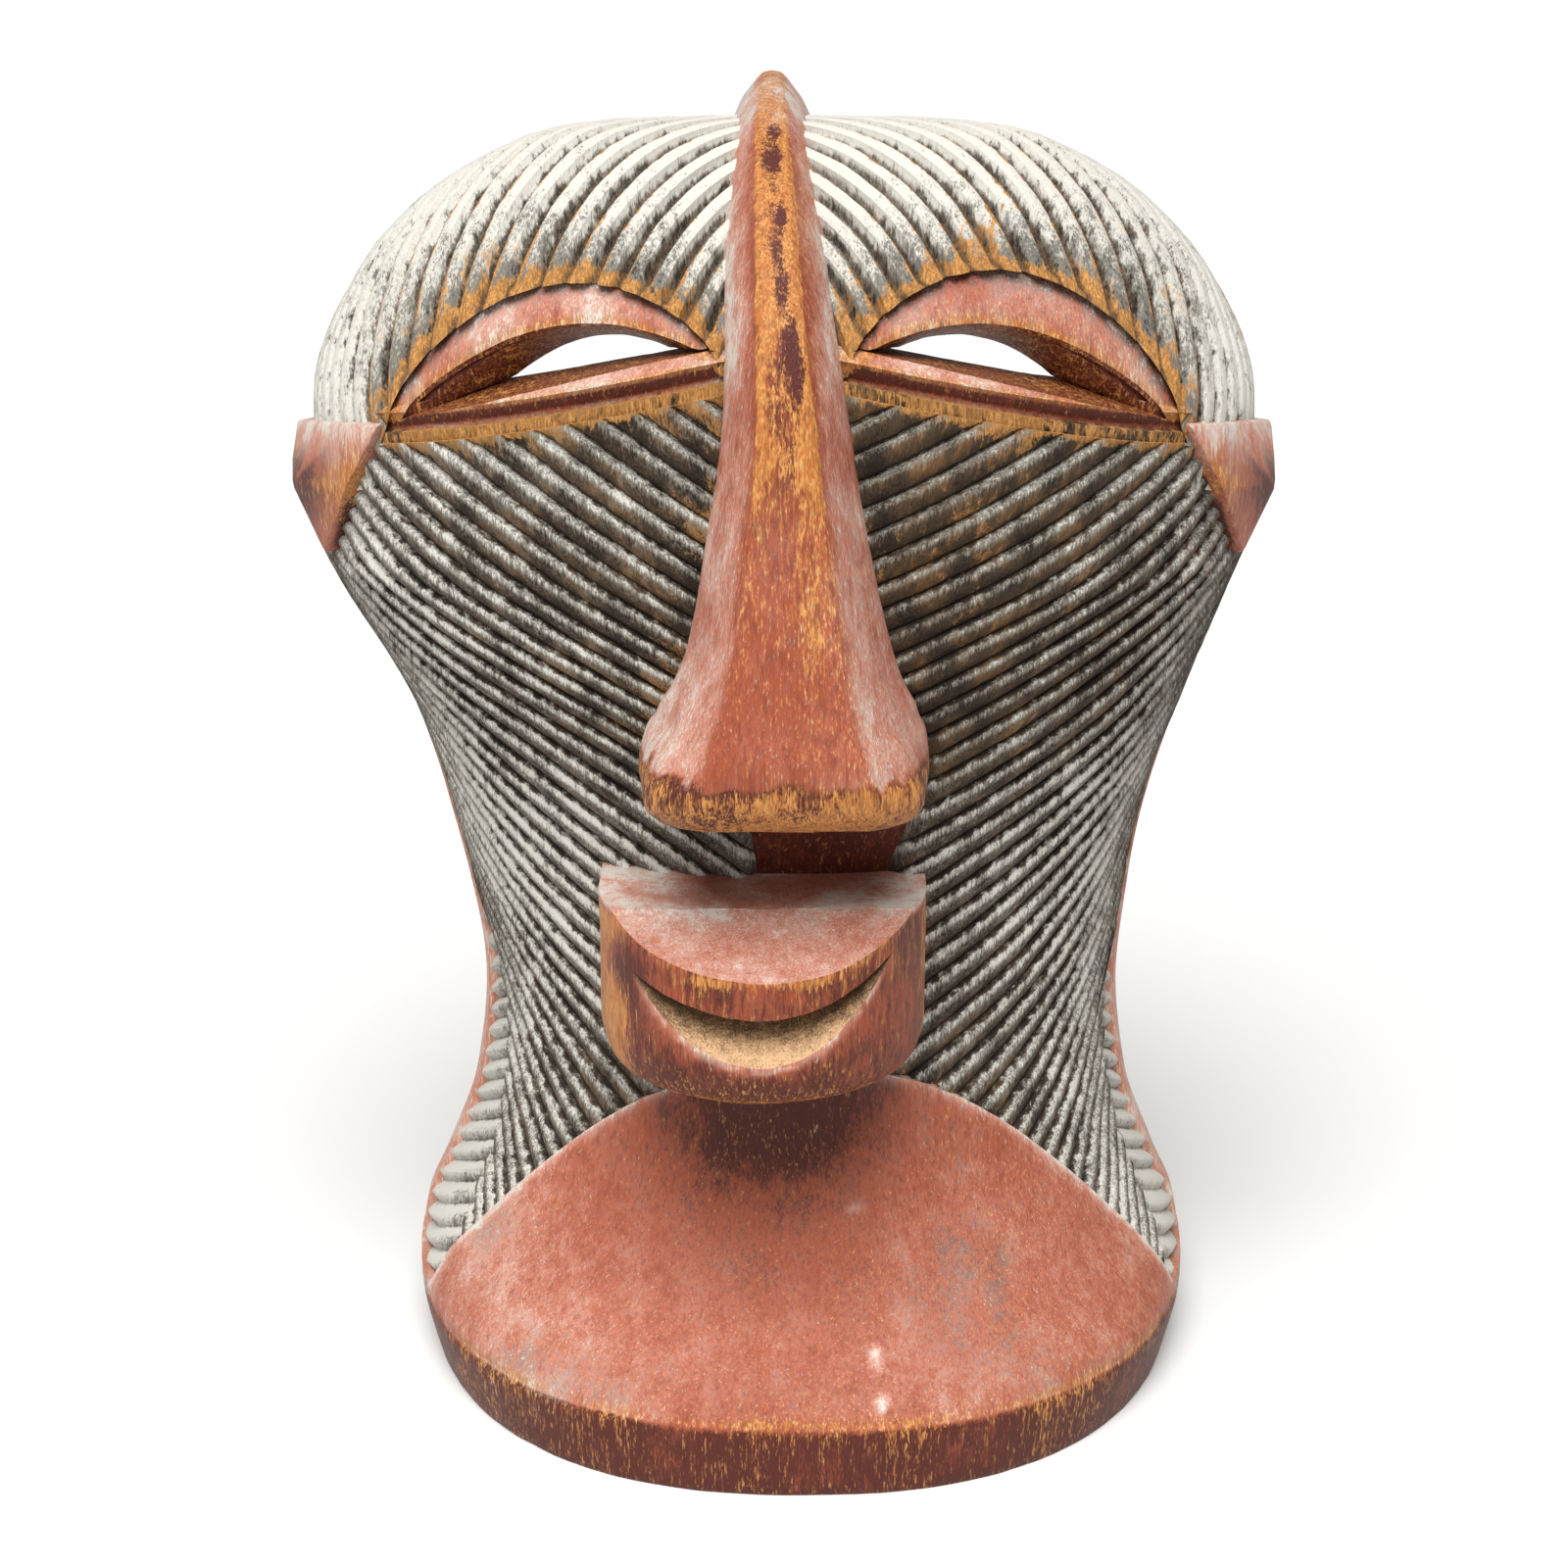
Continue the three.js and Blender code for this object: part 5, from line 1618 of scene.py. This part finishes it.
class MASK_OT_carve(bpy.types.Operator):
    """Carve the mask and paint it"""

    bl_idname = "mask.carve"
    bl_label = "Carve the mask"

    def execute(self, context):
        form = Form(context.scene.mask_sizes)
        colours = context.scene.mask_colours
        mask = carve(form)
        mesh = mask.data
        surface = Surface(mesh)
        counts = flute_counts(form, surface)
        amounts = finishes(form, surface)
        points = roughen(surface)
        place = points * MM + [(cad_low.x + cad_high.x) / 2, cad_high.y, 0]
        place = np.clip(place, np.array(cad_low), np.array(cad_high))
        mesh.vertices.foreach_set("co", place.ravel())
        flute = mesh.attributes.new("flute", "FLOAT", "CORNER")
        flute.data.foreach_set("value", counts)
        finish = mesh.attributes.new("finish", "FLOAT_COLOR", "CORNER")
        opaque = np.ones((len(amounts), 1))
        finish.data.foreach_set("color", np.hstack((amounts, opaque)).ravel())
        mesh.materials.clear()
        finish_of = np.empty(len(ZONES), int)
        for index, (make, zones) in enumerate(ZONES_OF_FINISH.items()):
            mesh.materials.append(make(colours))
            finish_of[[ZONE[zone] for zone in zones]] = index
        mesh.polygons.foreach_set("material_index", finish_of[surface.face_zone])
        mesh.polygons.foreach_set("use_smooth", np.ones(len(mesh.polygons), bool))
        mesh.set_sharp_from_angle(angle=math.radians(SHARP))
        mesh.update()
        for zone in ZONES:
            bpy.data.materials.remove(bpy.data.materials[zone])
        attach(mask, "root")
        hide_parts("mask")
        return {"FINISHED"}


class MASK_OT_set_studio(bpy.types.Operator):
    """Set the floor, the lights and the camera"""

    bl_idname = "mask.set_studio"
    bl_label = "Set the studio"

    def execute(self, context):
        studio = context.scene.mask_studio
        floor = pale_floor(studio)
        soft_lights((cad_low + cad_high) / 2)
        context.scene.world = pale_sky(studio)
        context.scene.view_settings.view_transform = "Standard"
        lens = bpy.data.cameras.new("camera")
        lens.lens = studio.focal_length
        lens.sensor_width = 36
        lens.clip_end = 100
        camera = bpy.data.objects.new("camera", lens)
        camera.location = (0, cad_high.y - studio.camera_back, studio.camera_height)
        camera.rotation_euler = (math.radians(90) - studio.camera_tilt, 0, 0)
        context.scene.collection.objects.link(camera)
        context.scene.camera = camera
        return {"FINISHED"}


def pale_sky(studio):
    """Soft light from all round, which shows as plain white behind the floor."""
    world = bpy.data.worlds.new("studio")
    world.use_nodes = True
    tree = world.node_tree
    ray = add_node(tree, "ShaderNodeLightPath")
    strength = add_node(tree, "ShaderNodeMapRange", {
        "Value": ray.outputs["Is Camera Ray"], "To Min": SKY_STRENGTH, "To Max": 1.0})
    sky = tree.nodes["Background"]
    sky.inputs["Color"].default_value = (*studio.sky, 1)
    tree.links.new(strength.outputs[0], sky.inputs["Strength"])
    return world


def pale_floor(studio):
    """A plain pale floor, matt as painted board."""
    mesh = bpy.data.meshes.new("floor")
    corners = [(x * FLOOR_REACH, y * FLOOR_REACH, 0)
               for x, y in ((-1, -1), (1, -1), (1, 1), (-1, 1))]
    mesh.from_pydata(corners, [], [(0, 1, 2, 3)])
    material, _, shader = new_material("matt white board", 0.9)
    shader.inputs["Base Color"].default_value = (*studio.floor, 1)
    mesh.materials.append(material)
    floor = bpy.data.objects.new("floor", mesh)
    bpy.context.scene.collection.objects.link(floor)
    return floor


def soft_lights(target):
    """A wide high light in front, as from a large pale ceiling, and a weak soft box low on
    the left, both turned to the mask."""
    turn, rise = math.radians(CEILING["azimuth"]), math.radians(CEILING["elevation"])
    towards = Vector((math.sin(turn) * math.cos(rise), -math.cos(turn) * math.cos(rise),
                      math.sin(rise)))
    high = bpy.data.lights.new("ceiling", "SUN")
    high.energy = CEILING["strength"]
    high.angle = math.radians(CEILING["softness"])
    low = bpy.data.lights.new("soft_box", "AREA")
    low.size = SOFT_BOX["size"]
    low.energy = SOFT_BOX["power"]
    places = {high: target + towards * 3, low: target + Vector(SOFT_BOX["place"])}
    for lamp, place in places.items():
        light = bpy.data.objects.new(lamp.name, lamp)
        light.location = place
        light.rotation_euler = (target - place).to_track_quat("-Z", "Y").to_euler()
        bpy.context.scene.collection.objects.link(light)


class MASK_PT_panel(bpy.types.Panel):
    """Lists the mask's operators, sizes and colours"""

    bl_idname = "MASK_PT_panel"
    bl_label = "Kifwebe mask"
    bl_space_type = "VIEW_3D"
    bl_region_type = "UI"
    bl_category = "Mask"

    def draw(self, context):
        for operator in OPERATORS:
            self.layout.operator(operator.bl_idname)
        for group in (context.scene.mask_sizes, context.scene.mask_colours,
                      context.scene.mask_studio):
            box = self.layout.box()
            for name in type(group).__annotations__:
                box.prop(group, name)


OPERATORS = (MASK_OT_carve, MASK_OT_set_studio)
CLASSES = (MaskSizes, MaskColours, StudioSettings, *OPERATORS, MASK_PT_panel)


def register():
    """Adds the classes to Blender, and their settings to the scene."""
    for cls in CLASSES:
        bpy.utils.register_class(cls)
    bpy.types.Scene.mask_sizes = PointerProperty(type=MaskSizes)
    bpy.types.Scene.mask_colours = PointerProperty(type=MaskColours)
    bpy.types.Scene.mask_studio = PointerProperty(type=StudioSettings)


def unregister():
    """Takes both away again, in reverse."""
    del bpy.types.Scene.mask_studio
    del bpy.types.Scene.mask_colours
    del bpy.types.Scene.mask_sizes
    for cls in reversed(CLASSES):
        bpy.utils.unregister_class(cls)


def main():
    register()
    bpy.ops.mask.carve()
    bpy.ops.mask.set_studio()


if __name__ == "__main__":
    main()
